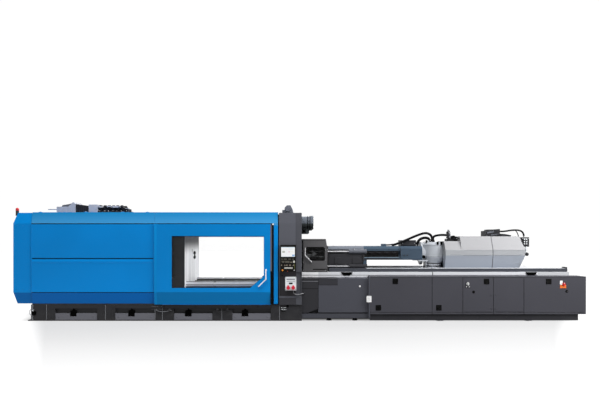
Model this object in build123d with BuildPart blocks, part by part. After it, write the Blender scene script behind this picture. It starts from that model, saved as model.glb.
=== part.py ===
from build123d import *
import math
import os

os.makedirs("parts", exist_ok=True)

# An injection moulding machine with two platens, clamp unit left, injection unit right.
# Millimetres. X runs along the machine to the right, the operator stands on the -Y side,
# Z is up, and the origin is the middle of the machine's footprint on the floor.

# Stations along the machine
cap_length = 440.0
panel_length = 2960.0
gate_length = 2796.0
gate_gap = 82.0
corner_width = 96.0
cover_gap = 26.0
cover_length = 550.0
bed_length = 6840.0
clamp_length = (
    cap_length + panel_length + gate_length + gate_gap + corner_width + cover_gap + cover_length
)
x_cap = -(clamp_length + bed_length) / 2
x_panel = x_cap + cap_length
x_gate = x_panel + panel_length
x_gap = x_gate + gate_length
x_corner = x_gap + gate_gap
x_header_end = x_corner + corner_width
x_cover = x_header_end + cover_gap
x_bed = x_cover + cover_length
x_end = x_bed + bed_length

# Housing section
base_height = 391.0
sill_height = 24.0
lower_bend = 694.0
upper_bend = 2350.0
housing_top = 2621.0
housing_half = 1400.0
lower_lean = 50.0
upper_lean = 70.0
skin = 30.0
roof_skin = 25.0
groove_low = 1437.0
groove_high = 1517.0
groove_depth = 16.0
seam_line = 14.0
cap_inset = 12.0
roof_joint = 8.0
roof_joint_depth = 6.0
cap_lean = 80.0
header_width = 100.0
seam = 0.3

# Sliding gate
gate_stand = 40.0
gate_skin = 36.0
gate_top_gap = 14.0
gate_running_gap = 4.0
gate_pane = 10.0
window_left = 428.0
window_right = 153.0
window_low = 799.0
window_high = 2045.0
window_cut_x = 336.0
window_cut_z = 276.0
rail_height = 67.0
rail_gap = 24.0
rail_depth = 34.0
rail_inset = 195.0
handle_radius = 14.0
handle_stand = 45.0
handle_x = 108.0
handle_top = 1232.0
handle_bend = 1008.0
handle_drop = 172.0
roller_radius = 28.0
roller_pitch = 240.0

# Machine axis and tie bars
axis_height = 1600.0
bar_spacing_y = 1580.0
bar_spacing_z = 1568.0
bar_radius = 100.0
bar_fit = 1.0
bar_clearance = 2.0
bar_tail = 400.0

# Platens
platen_half_width = 1010.0
platen_margin = 200.0
fixed_thickness = 590.0
fixed_front = 600.0
fixed_setback = 55.0
movable_thickness = 700.0
daylight = 2240.0
face_plate = 250.0
boss_size = 420.0
rib_half_y = 420.0
rib_half_z = 500.0
rib = 90.0
seat_radius = 125.0
seat_depth = 40.0
nozzle_hole = 100.0
cone_start = 350.0
cone_radius = 280.0
mould_holes_wide = 1120.0
mould_holes_narrow = 700.0
mould_hole_radius = 13.0
mould_hole_depth = 60.0
platen_edge = 25.0
lug_length = 270.0
lug_height = 250.0
lug_thickness = 90.0
lug_step = 60.0
lug_step_height = 130.0
lug_shoulder = 187.0
lug_pin = 62.0
lug_pin_height = 150.0
lug_pin_reach = 60.0
lug_y = 560.0

# Clamping, stroke and ejection
cylinder_radius = 175.0
cylinder_length = 350.0
cylinder_pocket = 240.0
cylinder_cap = 70.0
cylinder_step = 15.0
port_reach = 270.0
port_length = 250.0
port_half = 70.0
lock_thickness = 160.0
lock_rib = 56.0
lock_groove = 60.0
lock_depth = 12.0
lock_radius = 190.0
lock_open = 55.0
lock_gap = 1.0
clamp_stroke = 1500.0
stroke_rod_radius = 40.0
stroke_cylinder_radius = 75.0
stroke_cylinder_length = 1750.0
stroke_y = 440.0
stroke_head = 120.0
ejector_rod_radius = 45.0
ejector_hole = 60.0
ejector_body = 140.0
ejector_length = 480.0

# Base under the clamp unit
base_left = 417.0
base_half = housing_half - skin
recess_half = base_half - 70.0
lip = 74.0
lip_height = 20.0
recesses = (
    (x_panel + 0.190 * panel_length, x_panel + 0.531 * panel_length),
    (x_panel + 0.679 * panel_length, x_gate + 3.0),
    (x_gate + 0.168 * gate_length, x_gate + 0.499 * gate_length),
    (x_gate + 0.671 * gate_length, x_gap + 5.0),
)
recess_low = 20.0
recess_high = 300.0
ledge_low = 22.0
ledge_high = 178.0
ledge_depth = 60.0
notch_width = 163.0
notch_low = 103.0
notch_shares = (0.426, 0.405, 0.366, 0.326)
way_inner = 880.0
way_outer = 1000.0
way_top = 560.0
drop_half = 600.0
drop_margin = 180.0

# Column cover and controls
cover_top = 2604.0
cover_recess = 25.0
recess_bottom = 600.0
recess_top = 1180.0
recess_side = 15.0
panel_side = 36.0
panel_width = 367.0
panel_low = 1188.0
panel_high = 1831.0
panel_depth = 70.0
screen_inset = 19.0
screen_low = 1548.0
screen_high = 1781.0
screen_depth = 6.0
key_rows = 5
key_columns = 8
key_size = 26.0
key_pitch = 38.0
key_height = 3.0
keys_low = 1240.0
knob_radius = 22.0
knob_top_radius = 19.0
knob_height = 34.0
knob_travel = 6.0
socket_left = 154.0
socket_width = 264.0
socket_low = 742.0
socket_high = 1063.0
socket_depth = 110.0
socket_hole = 29.0
lid_radius = 42.0
lid_height = 26.0
lid_pitch = 120.0
lid_z = 806.0
lid_hinge = 8.0

# Roof
beacon_x = 41.0
beacon_inset = 130.0
beacon_foot = 84.0
beacon_radius = 38.0
beacon_height = 110.0
beacon_shoulder = 88.0
roof_y = -500.0
roof_gear_x = 783.0
roof_box_length = 477.0
roof_box_height = 168.0
roof_box_shoulder = 290.0
roof_box_peak = 284.0
roof_box_peak_x = 410.0
roof_half_depth = 260.0
duct_length = 326.0
duct_high = 236.0
duct_low = 190.0
duct_ribs = 6
duct_rib_height = 12.0
block_length = 226.0
block_height = 221.0
valve_plate_length = 760.0
valve_plate_height = 58.0
valve_body_length = 640.0
valve_body_height = 120.0
valve_count = 6
valve_radius = 34.0
valve_height = 88.0

tank_length = 850.0
tank_gap = 110.0
tank_half = 900.0
tank_top = 1100.0
motor_y = 480.0
motor_radius = 210.0
motor_lift = 15.0
motor_length = 520.0
pump_radius = 120.0
manifold_half = 180.0
manifold_height = 420.0

# Hoses
fitting_x = x_bed + 2195.0
fitting_y = -260.0
fitting_length = 130.0
fitting_size = 60.0
bend_share = 0.45
long_hose_diameter = 36.0
thick_hose_diameter = 44.0
rear_hose_diameter = 24.0
socket_cable_diameter = 10.0

# Bed under the injection unit
bed_end = x_end - 182.0
bed_low = 560.0
bed_top = 1026.0
bed_half = 640.0
edge_outer = 920.0
edge_low = 1026.0
edge_top = 1151.0
cover_return = 20.0
edge_lip = 30.0
beam_outer = 820.0
beam_top = 1238.0
beam_start = x_bed + 678.0
track_y = 520.0
track_width = 80.0
track_height = 64.0
tongue_end = x_bed + 425.0
tongue_half = 560.0
tongue_low = 200.0
leg_width = 180.0
leg_count = 5
bed_cover_front = housing_half - 70.0
cover_bend_x = 300.0
cover_bend_z = 295.0
cover_foot_z = 190.0
dark_cover_end = x_bed + 401.0
bed_cover_end = x_bed + 1613.0
cover_rail_low = 55.0
cover_rail_high = 187.0
cover_foot_radius = 40.0
toe_inset = 80.0
cover_feet = (x_bed + 661.0, x_bed + 1291.0)

# Switch cabinets
cabinet_left = x_bed + 1649.0
cabinet_front = housing_half
plinth_top = 163.0
cabinet_top = 1068.0
plinth_end = x_end - 175.0
plinth_low = 14.0
plinth_feet = (x_end - 3501.0, x_end - 1365.0)
plinth_foot_radius = 85.0
door_low = 211.0
door_high = 1050.0
door_skin = 24.0
door_gap = 4.0
seam_b = x_end - 3703.0
seam_c = x_end - 2964.0
seam_d = x_end - 2227.0
seam_e = x_end - 1493.0
cabinet_wall = 30.0
panel_seam = 6.0
switch_radius = 36.0
switch_depth = 40.0
switch_grip = 43.0
switch_grip_face = 40.0
main_switch_x = x_end - 535.0
main_switch_z = 886.0
small_switch_x = seam_c + 119.0
small_switch_z = 895.0

# Injection unit
unit_start = x_bed + 682.0
support_end = x_bed + 1673.0
support_half = 440.0
support_top = 1590.0
cheek_gap = 0.3
shoe_gap = 0.3
shoe_lip = 24.0
shroud_half = 380.0
shroud_low = 1438.0
shroud_high = 1790.0
shroud_bevel = 60.0
shroud_bore = 150.0
shroud_end = x_bed + 2548.0
bar_recess_low = 1537.0
bar_recess_high = 1668.0
bar_recess_depth = 60.0
barrel_radius = 110.0
barrel_bore = 62.0
barrel_start = x_bed - 185.0
nozzle_radius = 60.0
nozzle_tip = x_bed - 595.0
nozzle_tip_radius = 22.0
nozzle_orifice = 8.0
barrel_fit = 0.5
band_radius = 126.0
band_width = 120.0
band_pitch = 150.0
band_count = 5
band_start = x_bed - 115.0
feed_end = x_bed + 3110.0
feed_half = 400.0
throat = 150.0
throat_flange = 400.0
throat_height = 155.0
throat_x = x_bed + 2790.0
casting_x = x_bed + 3480.0
casting_radius = 311.0
casting_top = 1899.0
casting_waist = 1511.0
casting_foot = 1355.0
foot_radius = 200.0
piston_radius = 145.0
piston_start = x_bed + 3585.0
piston_length = 160.0
screw_radius = 50.0
screw_tip = x_bed + 445.0
saddle_start = x_bed + 3245.0
saddle_end = x_bed + 5545.0
saddle_half = 600.0
saddle_top = 1205.0
drive_start = x_bed + 3792.0
drive_step = x_bed + 4095.0
drive_step_top = 1917.0
drive_seam = x_bed + 4905.0
drive_end = x_bed + 5727.0
drive_half = 500.0
drive_top_half = 330.0
drive_low_half = 420.0
drive_top = 2045.0
drive_edge_high = 1694.0
drive_edge_low = 1552.0
drive_tail = 90.0
drive_seam_gap = 6.0

throat_bolts = 320.0
throat_bolt_radius = 8.0
flange_radius = 210.0
post_x = x_bed + 3815.0
post_length = 270.0
post_depth = 260.0
post_foot = 60.0
post_height = 200.0
post_radius = 45.0
unit_x = x_bed + 4805.0
unit_length = 375.0
unit_low = 142.0
unit_high = 194.0
unit_depth = 400.0
connector_reach = 220.0
connector_half = 190.0
connector_low = 1775.0
connector_high = 2022.0

# Purge guard over the nozzle
guard_start = x_bed + 7.0
guard_end = x_bed + 640.0
guard_top = 1976.0
guard_half = 900.0
guard_skin = 30.0
guard_slant = 40.0
guard_slant_drop = 230.0
guard_pane_left = x_bed + 130.0
guard_pane_right = x_bed + 555.0
guard_pane_low = 1455.0
guard_pane_high = 1755.0
guard_cut = 90.0
guard_handle_side = 45.0
guard_handle_stand = 38.0
guard_handle_low = 10.0
guard_handle_bend = 1565.0
guard_handle_drop = 155.0
guard_handle_radius = 11.0

# Carriage cylinders
ram_y = 435.6
ram_z = 1650.0
ram_radius = 55.0
ram_start = x_bed + 1212.0
ram_end = x_bed + 1667.0
guide_y = 500.6
guide_z = 1275.0
guide_radius = 60.0
rod_radius = 20.0
rod_fit = 0.3
rod_in = 440.0


def block(x, y, z, mode=Mode.ADD):
    """A cuboid between two coordinates on each axis, added to the part being built."""
    with Locations(((x[0] + x[1]) / 2, (y[0] + y[1]) / 2, (z[0] + z[1]) / 2)):
        Box(x[1] - x[0], y[1] - y[0], z[1] - z[0], mode=mode)


def rod(x, y, z, radius, mode=Mode.ADD):
    """A round bar along X between two stations, added to the part being built."""
    with Locations(((x[0] + x[1]) / 2, y, z)):
        Cylinder(radius, x[1] - x[0], rotation=(0, 90, 0), mode=mode)


def section(points, start, end):
    """A prism along X whose outline is given as (y, z) points."""
    with BuildPart() as prism:
        with BuildSketch(Plane.YZ.offset(start)):
            with BuildLine():
                Polyline(points, close=True)
            make_face()
        extrude(amount=end - start)
    return prism.part


def elevation(points, near, far):
    """A prism across the machine whose outline is given as (x, z) points."""
    with BuildPart() as prism:
        with BuildSketch(Plane.XZ.offset(-near)):
            with BuildLine():
                Polyline(points, close=True)
            make_face()
        extrude(amount=-(far - near))
    return prism.part


def save(builder, name):
    """Labels a finished piece and writes its file."""
    builder.part.label = name
    export_step(builder.part, f"parts/{name}.step")


bar_places = [
    (side * bar_spacing_y / 2, axis_height + level * bar_spacing_z / 2)
    for side in (-1, 1)
    for level in (-1, 1)
]
y_top = housing_half - upper_lean
y_foot = housing_half - lower_lean
z_foot = base_height + sill_height
rail_low = base_height - rail_gap - rail_height
platen_low = axis_height - bar_spacing_z / 2 - platen_margin
platen_high = axis_height + bar_spacing_z / 2 + platen_margin
x_fixed_face = x_bed - fixed_setback - fixed_front
x_fixed_back = x_fixed_face + fixed_thickness
x_movable_face = x_fixed_face - daylight
x_movable_back = x_movable_face - movable_thickness

# Welded base: posts, recesses between them, platen ways and the drop opening under the mould
with BuildPart() as clamp_base:
    block((x_cap + base_left, x_bed), (-base_half, base_half), (0, base_height))
    block((x_cap + base_left - lip, x_cap + base_left), (-base_half, base_half), (0, lip_height))
    for start, end in recesses:
        for side in (-1, 1):
            block(
                (start, end),
                tuple(sorted((side * recess_half, side * base_half))),
                (recess_low, recess_high),
                mode=Mode.SUBTRACT,
            )
    for side in (-1, 1):
        block(
            (x_panel, x_gate),
            tuple(sorted((side * (y_foot - skin), side * y_foot))),
            (base_height, base_height + sill_height),
        )
        block(
            (x_movable_back - platen_edge, x_fixed_face),
            tuple(sorted((side * way_inner, side * way_outer))),
            (base_height, way_top),
        )
        for before, after in zip(recesses[1:-1], recesses[2:]):
            for offset in (-roller_pitch / 2, roller_pitch / 2):
                with Locations(
                    (
                        (before[1] + after[0]) / 2 + offset,
                        side * (base_half + rail_depth / 2 + gate_running_gap / 2),
                        rail_low - seam - roller_radius,
                    )
                ):
                    Cylinder(roller_radius, rail_depth + gate_running_gap, rotation=(90, 0, 0))
    block(
        (x_movable_face + drop_margin, x_fixed_face - drop_margin),
        (-drop_half, drop_half),
        (-lip_height, base_height + lip_height),
        mode=Mode.SUBTRACT,
    )
save(clamp_base, "clamp_base")

# Grey ledges in the recesses, notched round the square levelling blocks
with BuildPart() as base_ledges:
    for (start, end), share in zip(recesses, notch_shares):
        middle = start + share * (end - start)
        for side in (-1, 1):
            depth = tuple(sorted((side * recess_half, side * (recess_half + ledge_depth))))
            block((start + seam, end - seam), depth, (ledge_low, ledge_high))
            block(
                (middle - notch_width / 2, middle + notch_width / 2),
                depth,
                (notch_low, ledge_high),
                mode=Mode.SUBTRACT,
            )
save(base_ledges, "base_ledges")


def mould_plate_holes(face, inward):
    """Locating seat and mould bolt holes in a platen's face, in the part being built."""
    rod(tuple(sorted((face, face + inward * seat_depth))), 0, axis_height, seat_radius, Mode.SUBTRACT)
    deep = tuple(sorted((face, face + inward * mould_hole_depth)))
    for wide, tall in (
        (mould_holes_wide, mould_holes_wide),
        (mould_holes_narrow, mould_holes_wide + 2 * seat_radius),
    ):
        for side in (-1, 1):
            for level in (-1, 1):
                rod(deep, side * wide / 2, axis_height + level * tall / 2, mould_hole_radius, Mode.SUBTRACT)


def platen_body(face, inward, thickness):
    """Cast platen: face plate, four corner bosses and crossed ribs behind it."""
    rear = face + inward * thickness
    plate = tuple(sorted((face, face + inward * face_plate)))
    behind = tuple(sorted((face + inward * face_plate, rear)))
    block(plate, (-platen_half_width, platen_half_width), (platen_low, platen_high))
    for y, z in bar_places:
        outer_y = platen_half_width if y > 0 else -platen_half_width
        outer_z = platen_high if z > axis_height else platen_low
        inner_y = outer_y - boss_size if y > 0 else outer_y + boss_size
        inner_z = outer_z - boss_size if z > axis_height else outer_z + boss_size
        block(behind, tuple(sorted((outer_y, inner_y))), tuple(sorted((outer_z, inner_z))))
    block(behind, (-rib_half_y, rib_half_y), (axis_height - rib_half_z, axis_height + rib_half_z))
    for side in (-1, 1):
        block(
            behind,
            tuple(sorted((side * rib_half_y, side * platen_half_width))),
            (axis_height - rib / 2, axis_height + rib / 2),
        )
        block(
            behind,
            (-rib / 2, rib / 2),
            tuple(sorted((axis_height + side * rib_half_z, axis_height + side * (platen_high - axis_height)))),
        )


# Fixed platen with the nozzle cone and two lifting lugs on top
with BuildPart() as fixed_platen:
    platen_body(x_fixed_face, 1, fixed_thickness)
    mould_plate_holes(x_fixed_face, 1)
    rod((x_fixed_face, x_fixed_back), 0, axis_height, nozzle_hole, Mode.SUBTRACT)
    with Locations(Plane((x_fixed_face + cone_start, 0, axis_height), z_dir=(1, 0, 0))):
        Cone(
            nozzle_hole,
            cone_radius,
            fixed_thickness - cone_start,
            align=(Align.CENTER, Align.CENTER, Align.MIN),
            mode=Mode.SUBTRACT,
        )
    for y, z in bar_places:
        rod((x_fixed_face, x_fixed_back), y, z, bar_radius + bar_clearance, Mode.SUBTRACT)
    for side in (-1, 1):
        block(
            (x_fixed_face, x_fixed_back),
            tuple(sorted((side * (way_inner + rib), side * platen_half_width))),
            (base_height, platen_low),
        )
    for side in (-1, 1):
        lug_middle = (x_fixed_face + x_fixed_back) / 2
        lug_left = lug_middle - lug_length / 2
        lug_right = lug_middle + lug_length / 2
        lug_outline = [
            (lug_left, platen_high),
            (lug_left, platen_high + lug_step_height),
            (lug_left + lug_step, platen_high + lug_step_height),
            (lug_left + lug_step, platen_high + lug_shoulder),
            (lug_left + 2 * lug_step, platen_high + lug_height),
            (lug_right - lug_step, platen_high + lug_height),
            (lug_right, platen_high + lug_step_height),
            (lug_right, platen_high),
        ]
        add(elevation(lug_outline, side * lug_y - lug_thickness / 2, side * lug_y + lug_thickness / 2))
        with Locations((lug_middle, side * (lug_y + lug_pin_reach / 2), platen_high + lug_pin_height)):
            Cylinder(lug_pin, lug_thickness + lug_pin_reach, rotation=(90, 0, 0))
save(fixed_platen, "fixed_platen")

# Movable platen with its shoes, ejector hole and the passages for the stroke rods
with BuildPart() as movable_platen:
    platen_body(x_movable_face, -1, movable_thickness)
    mould_plate_holes(x_movable_face, -1)
    rod((x_movable_back, x_movable_face), 0, axis_height, ejector_hole, Mode.SUBTRACT)
    for y, z in bar_places:
        rod((x_movable_back, x_movable_face), y, z, bar_radius + bar_clearance, Mode.SUBTRACT)
    for side in (-1, 1):
        rod(
            (x_movable_back, x_movable_face),
            side * stroke_y,
            axis_height - side * bar_spacing_z / 2,
            stroke_rod_radius + bar_clearance,
            Mode.SUBTRACT,
        )
        block(
            (x_movable_back, x_movable_face),
            tuple(sorted((side * (way_inner - platen_edge), side * platen_half_width))),
            (way_top + shoe_gap, platen_low),
        )
save(movable_platen, "movable_platen")

# Four tie bars, each with two grooves that the lock halves grip
x_lock = x_movable_back - lock_thickness - seam
x_bar_start = x_lock - bar_tail
x_bar_end = x_fixed_back + cylinder_pocket
with BuildPart() as tie_bars:
    for y, z in bar_places:
        rod((x_bar_start, x_bar_end), y, z, bar_radius)
        for travel in (0, clamp_stroke):
            groove = x_lock + (lock_thickness - lock_groove) / 2 + travel
            with BuildSketch(Plane.YZ.offset(groove)):
                with Locations((y, z)):
                    Circle(bar_radius + bar_fit)
                    Circle(bar_radius - lock_depth, mode=Mode.SUBTRACT)
            extrude(amount=lock_groove, mode=Mode.SUBTRACT)
save(tie_bars, "tie_bars")


def half_ring(y, z, side, start, depth, outer, inner):
    """Half of a thick ring standing open beside its bar, in the part being built."""
    centre = y + side * lock_open
    with BuildSketch(Plane.YZ.offset(start)) as ring:
        with Locations((centre, z)):
            Circle(outer)
            Circle(inner, mode=Mode.SUBTRACT)
        with Locations((centre - side * outer, z)):
            Rectangle(2 * outer + 2 * lock_gap, 2 * outer, mode=Mode.SUBTRACT)
    extrude(ring.sketch, amount=depth)


def lock_half(y, z, side):
    """One lock half with the rib that enters the bar's groove, in the part being built."""
    bore = bar_radius + lock_gap
    half_ring(y, z, side, x_lock, lock_thickness, lock_radius, bore)
    rib_start = x_lock + (lock_thickness - lock_rib) / 2
    half_ring(y, z, side, rib_start, lock_rib, bore + lock_gap, bar_radius - lock_depth + lock_gap)


# Lock halves behind the movable platen, front and rear ones closing together
with BuildPart() as lock_halves_front:
    for y, z in bar_places:
        lock_half(y, z, -1)
save(lock_halves_front, "lock_halves_front")

with BuildPart() as lock_halves_rear:
    for y, z in bar_places:
        lock_half(y, z, 1)
save(lock_halves_rear, "lock_halves_rear")

# Clamp cylinders bolted to the back of the fixed platen, blind pockets for the bar ends
with BuildPart() as clamp_cylinders:
    for y, z in bar_places:
        cap_start = x_fixed_back + cylinder_length - cylinder_cap
        block(
            (x_fixed_back, x_fixed_back + port_length),
            (y - port_half, y + port_half),
            (z - port_reach, z),
        )
        rod((x_fixed_back, cap_start), y, z, cylinder_radius - cylinder_step)
        rod((cap_start, x_fixed_back + cylinder_length), y, z, cylinder_radius)
        rod((x_fixed_back, x_bar_end), y, z, bar_radius + bar_fit, Mode.SUBTRACT)
save(clamp_cylinders, "clamp_cylinders")

# Stroke cylinders on the movable platen, their rods held by the fixed platen
x_plate_back = x_movable_face - face_plate
x_stroke_end = x_movable_back - stroke_cylinder_length
tank_end = x_stroke_end - tank_gap
tank_start = tank_end - tank_length
with BuildPart() as stroke_cylinders:
    for side in (-1, 1):
        z = axis_height - side * bar_spacing_z / 2
        rod((x_stroke_end, x_plate_back), side * stroke_y, z, stroke_cylinder_radius)
        rod(
            (x_stroke_end + stroke_head, x_plate_back),
            side * stroke_y,
            z,
            stroke_rod_radius + bar_clearance,
            Mode.SUBTRACT,
        )
save(stroke_cylinders, "stroke_cylinders")

with BuildPart() as stroke_rods:
    for side in (-1, 1):
        rod(
            (x_movable_back - stroke_head, x_fixed_face),
            side * stroke_y,
            axis_height - side * bar_spacing_z / 2,
            stroke_rod_radius,
        )
save(stroke_rods, "stroke_rods")

# Ejector cylinder behind the movable platen and the rod that reaches the mould
with BuildPart() as ejector_cylinder:
    rod((x_movable_back - ejector_length, x_movable_back), 0, axis_height, ejector_body)
    rod(
        (x_movable_back - ejector_length + stroke_head, x_movable_back),
        0,
        axis_height,
        ejector_rod_radius + seam,
        Mode.SUBTRACT,
    )
save(ejector_cylinder, "ejector_cylinder")

with BuildPart() as ejector_rod:
    rod(
        (x_movable_back - ejector_length + stroke_head + seam, x_movable_face - seat_depth - platen_edge),
        0,
        axis_height,
        ejector_rod_radius,
    )
save(ejector_rod, "ejector_rod")

# Housing: the same leaning section runs through the end cap, the panels and the roof


def housing_outline(inset):
    """Closed outline of the housing's section, drawn in from its outer faces by an inset."""
    return [
        (-(y_foot - inset), z_foot),
        (-(housing_half - inset), lower_bend),
        (-(housing_half - inset), upper_bend),
        (-(y_top - inset), housing_top - inset),
        (y_top - inset, housing_top - inset),
        (housing_half - inset, upper_bend),
        (housing_half - inset, lower_bend),
        (y_foot - inset, z_foot),
    ]


def cap_elevation(inset):
    """Side view of the end cap, its left wall bent in at the top and the foot."""
    return [
        (x_cap + inset, lower_bend),
        (x_cap + inset, upper_bend),
        (x_cap + cap_lean + inset, housing_top - cap_inset - inset),
        (x_panel + inset, housing_top - cap_inset - inset),
        (x_panel + inset, z_foot),
        (x_cap + cap_lean + inset, z_foot),
    ]


with BuildPart() as end_cap:
    add(section(housing_outline(cap_inset), x_cap, x_panel - seam))
    add(elevation(cap_elevation(0), -housing_half, housing_half), mode=Mode.INTERSECT)
    with BuildPart(mode=Mode.PRIVATE) as cap_room:
        add(section(housing_outline(cap_inset + skin), x_cap, x_panel))
        add(elevation(cap_elevation(skin), -housing_half, housing_half), mode=Mode.INTERSECT)
    add(cap_room.part, mode=Mode.SUBTRACT)
save(end_cap, "end_cap")

with BuildPart() as front_panel:
    with BuildSketch(Plane.YZ.offset(x_panel)):
        with BuildLine():
            Polyline(
                (-y_foot, z_foot),
                (-housing_half, lower_bend - seam_line),
                (-housing_half + groove_depth, lower_bend - seam_line),
                (-housing_half + groove_depth, lower_bend),
                (-housing_half, lower_bend),
                (-housing_half, groove_low),
                (-housing_half + groove_depth, groove_high),
                (-housing_half, groove_high),
                (-housing_half, upper_bend - seam_line),
                (-housing_half + groove_depth, upper_bend - seam_line),
                (-housing_half + groove_depth, upper_bend - seam),
                (-housing_half + skin, upper_bend - seam),
                (-housing_half + skin, lower_bend),
                (-y_foot + skin, z_foot),
                close=True,
            )
        make_face()
    extrude(amount=panel_length - seam)
save(front_panel, "front_panel")

with BuildPart() as rear_panel:
    add(front_panel.part)
    mirror(about=Plane.XZ, mode=Mode.REPLACE)
save(rear_panel, "rear_panel")

# Roof over the drive end, headers beside the open mould space, and the corner columns
with BuildPart() as roof_frame:
    with BuildSketch(Plane.YZ.offset(x_panel)):
        with BuildLine():
            Polyline(
                (-housing_half, upper_bend),
                (-y_top, housing_top),
                (y_top, housing_top),
                (housing_half, upper_bend),
                (housing_half - skin, upper_bend),
                (y_top - skin, housing_top - roof_skin),
                (-y_top + skin, housing_top - roof_skin),
                (-housing_half + skin, upper_bend),
                close=True,
            )
        make_face()
    extrude(amount=panel_length)
    for side in (-1, 1):
        with BuildSketch(Plane.YZ.offset(x_gate)):
            with BuildLine():
                Polyline(
                    (side * housing_half, upper_bend),
                    (side * y_top, housing_top),
                    (side * (y_top - header_width), housing_top),
                    (side * (y_top - header_width), upper_bend),
                    close=True,
                )
            make_face()
        extrude(amount=x_header_end - x_gate)
        block(
            (x_corner, x_header_end),
            tuple(sorted((side * (housing_half - header_width), side * housing_half))),
            (base_height + sill_height, upper_bend),
        )
        block(
            (x_corner, x_header_end),
            tuple(sorted((side * (base_half - header_width), side * (base_half - skin)))),
            (base_height, base_height + sill_height),
        )
    for side in (-1, 1):
        with BuildSketch(Plane.YZ.offset(x_gate - roof_joint / 2)):
            with BuildLine():
                Polyline(
                    (side * housing_half, upper_bend),
                    (side * y_top, housing_top),
                    (side * (y_top - roof_joint_depth), housing_top),
                    (side * (housing_half - roof_joint_depth), upper_bend),
                    close=True,
                )
            make_face()
        extrude(amount=roof_joint, mode=Mode.SUBTRACT)
save(roof_frame, "roof_frame")


# Gates: a bent sheet with a window, its running rail below and the clear pane inside it
def gate_window(clearance):
    """Window outline with its lower right corner cut off, drawn in by a clearance."""
    left = x_gate + window_left + clearance
    right = x_gap - window_right - clearance
    low = window_low + clearance
    return [
        (left, low),
        (left, window_high - clearance),
        (right, window_high - clearance),
        (right, window_low + window_cut_z),
        (right - window_cut_x, low),
    ]


gate_front_y = -(housing_half + gate_stand)
with BuildPart() as gate_front:
    with BuildSketch(Plane.YZ.offset(x_gate)):
        with BuildLine():
            Polyline(
                (gate_front_y + lower_lean, base_height + gate_running_gap),
                (gate_front_y, lower_bend),
                (gate_front_y, upper_bend - gate_top_gap),
                (gate_front_y + gate_skin, upper_bend - gate_top_gap),
                (gate_front_y + gate_skin, lower_bend),
                (gate_front_y + lower_lean + gate_skin, base_height + gate_running_gap),
                close=True,
            )
        make_face()
    extrude(amount=gate_length)
    add(elevation(gate_window(0), gate_front_y, gate_front_y + gate_skin), mode=Mode.SUBTRACT)
    rail_front = -base_half - gate_running_gap - rail_depth
    block(
        (x_gate + rail_inset, x_gap),
        (rail_front, rail_front + rail_depth),
        (rail_low, base_height + gate_running_gap),
    )
save(gate_front, "gate_front")

with BuildPart() as gate_rear:
    add(gate_front.part)
    mirror(about=Plane.XZ, mode=Mode.REPLACE)
save(gate_rear, "gate_rear")

pane_y = gate_front_y + (gate_skin - gate_pane) / 2
with BuildPart() as gate_front_pane:
    add(elevation(gate_window(seam), pane_y, pane_y + gate_pane))
save(gate_front_pane, "gate_front_pane")

with BuildPart() as gate_rear_pane:
    add(gate_front_pane.part)
    mirror(about=Plane.XZ, mode=Mode.REPLACE)
save(gate_rear_pane, "gate_rear_pane")


def bar_handle(points, face, radius):
    """Bent round grip with a post at each end down to a face, in the part being built."""
    grip_y = points[0][1]
    with BuildLine() as grip:
        FilletPolyline(*points, radius=radius * 4)
    with BuildSketch(Plane(points[0], z_dir=Vector(points[1]) - Vector(points[0]))) as bar:
        Circle(radius)
    sweep(bar.sketch, path=grip.wires()[0])
    for x, _, z in (points[0], points[-1]):
        with Locations(Plane((x, grip_y, z), z_dir=(0, 1, 0))):
            Cylinder(radius, face - grip_y, align=(Align.CENTER, Align.CENTER, Align.MIN))


# Bar handle by the window: a straight grip with a bend along the cut corner
handle_y = gate_front_y - handle_stand
with BuildPart() as gate_front_handle:
    bar_handle(
        [
            (x_gap - handle_x, handle_y, handle_top),
            (x_gap - handle_x, handle_y, handle_bend),
            (x_gap - handle_x - handle_drop, handle_y, handle_bend - handle_drop),
        ],
        gate_front_y,
        handle_radius,
    )
save(gate_front_handle, "gate_front_handle")


# Grey column covers over the ends of the fixed platen, the front one carries the controls
def column_cover():
    """Tall box with a top that leans like the housing, in the part being built."""
    with BuildSketch(Plane.YZ.offset(x_cover)) as profile:
        with BuildLine():
            Polyline(
                (-housing_half, base_height),
                (-housing_half, upper_bend),
                (-housing_half + cover_recess, cover_top),
                (-platen_half_width - seam, cover_top),
                (-platen_half_width - seam, base_height),
                close=True,
            )
        make_face()
    extrude(profile.sketch, amount=cover_length)


with BuildPart() as platen_cover_front:
    column_cover()
    block(
        (x_cover + recess_side, x_bed - recess_side),
        (-housing_half, -housing_half + cover_recess),
        (recess_bottom, recess_top),
        mode=Mode.SUBTRACT,
    )
save(platen_cover_front, "platen_cover_front")

with BuildPart() as platen_cover_rear:
    column_cover()
    mirror(about=Plane.XZ, mode=Mode.REPLACE)
save(platen_cover_rear, "platen_cover_rear")

# Control panel: a bezel with a screen well and rows of membrane keys, its screen and stop knob
panel_x = x_cover + panel_side
panel_face = -housing_half - panel_depth
screen_span = (panel_x + screen_inset, panel_x + panel_width - screen_inset)
knob_x = panel_x + panel_width / 7
knob_z = panel_low + panel_side
with BuildPart() as control_panel:
    block((panel_x, panel_x + panel_width), (panel_face, -housing_half), (panel_low, panel_high))
    block(screen_span, (panel_face, panel_face + screen_depth), (screen_low, screen_high), Mode.SUBTRACT)
    for row in range(key_rows):
        for column in range(key_columns):
            key_x = panel_x + screen_inset + key_size + column * key_pitch
            key_z = keys_low + panel_side + row * key_pitch
            block(
                (key_x - key_size / 2, key_x + key_size / 2),
                (panel_face - key_height, panel_face),
                (key_z, key_z + key_size),
            )
    with Locations(Plane((knob_x, panel_face, knob_z), z_dir=(0, 1, 0))):
        Cylinder(
            knob_radius / 2 + seam,
            knob_height,
            align=(Align.CENTER, Align.CENTER, Align.MIN),
            mode=Mode.SUBTRACT,
        )
save(control_panel, "control_panel")

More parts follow.
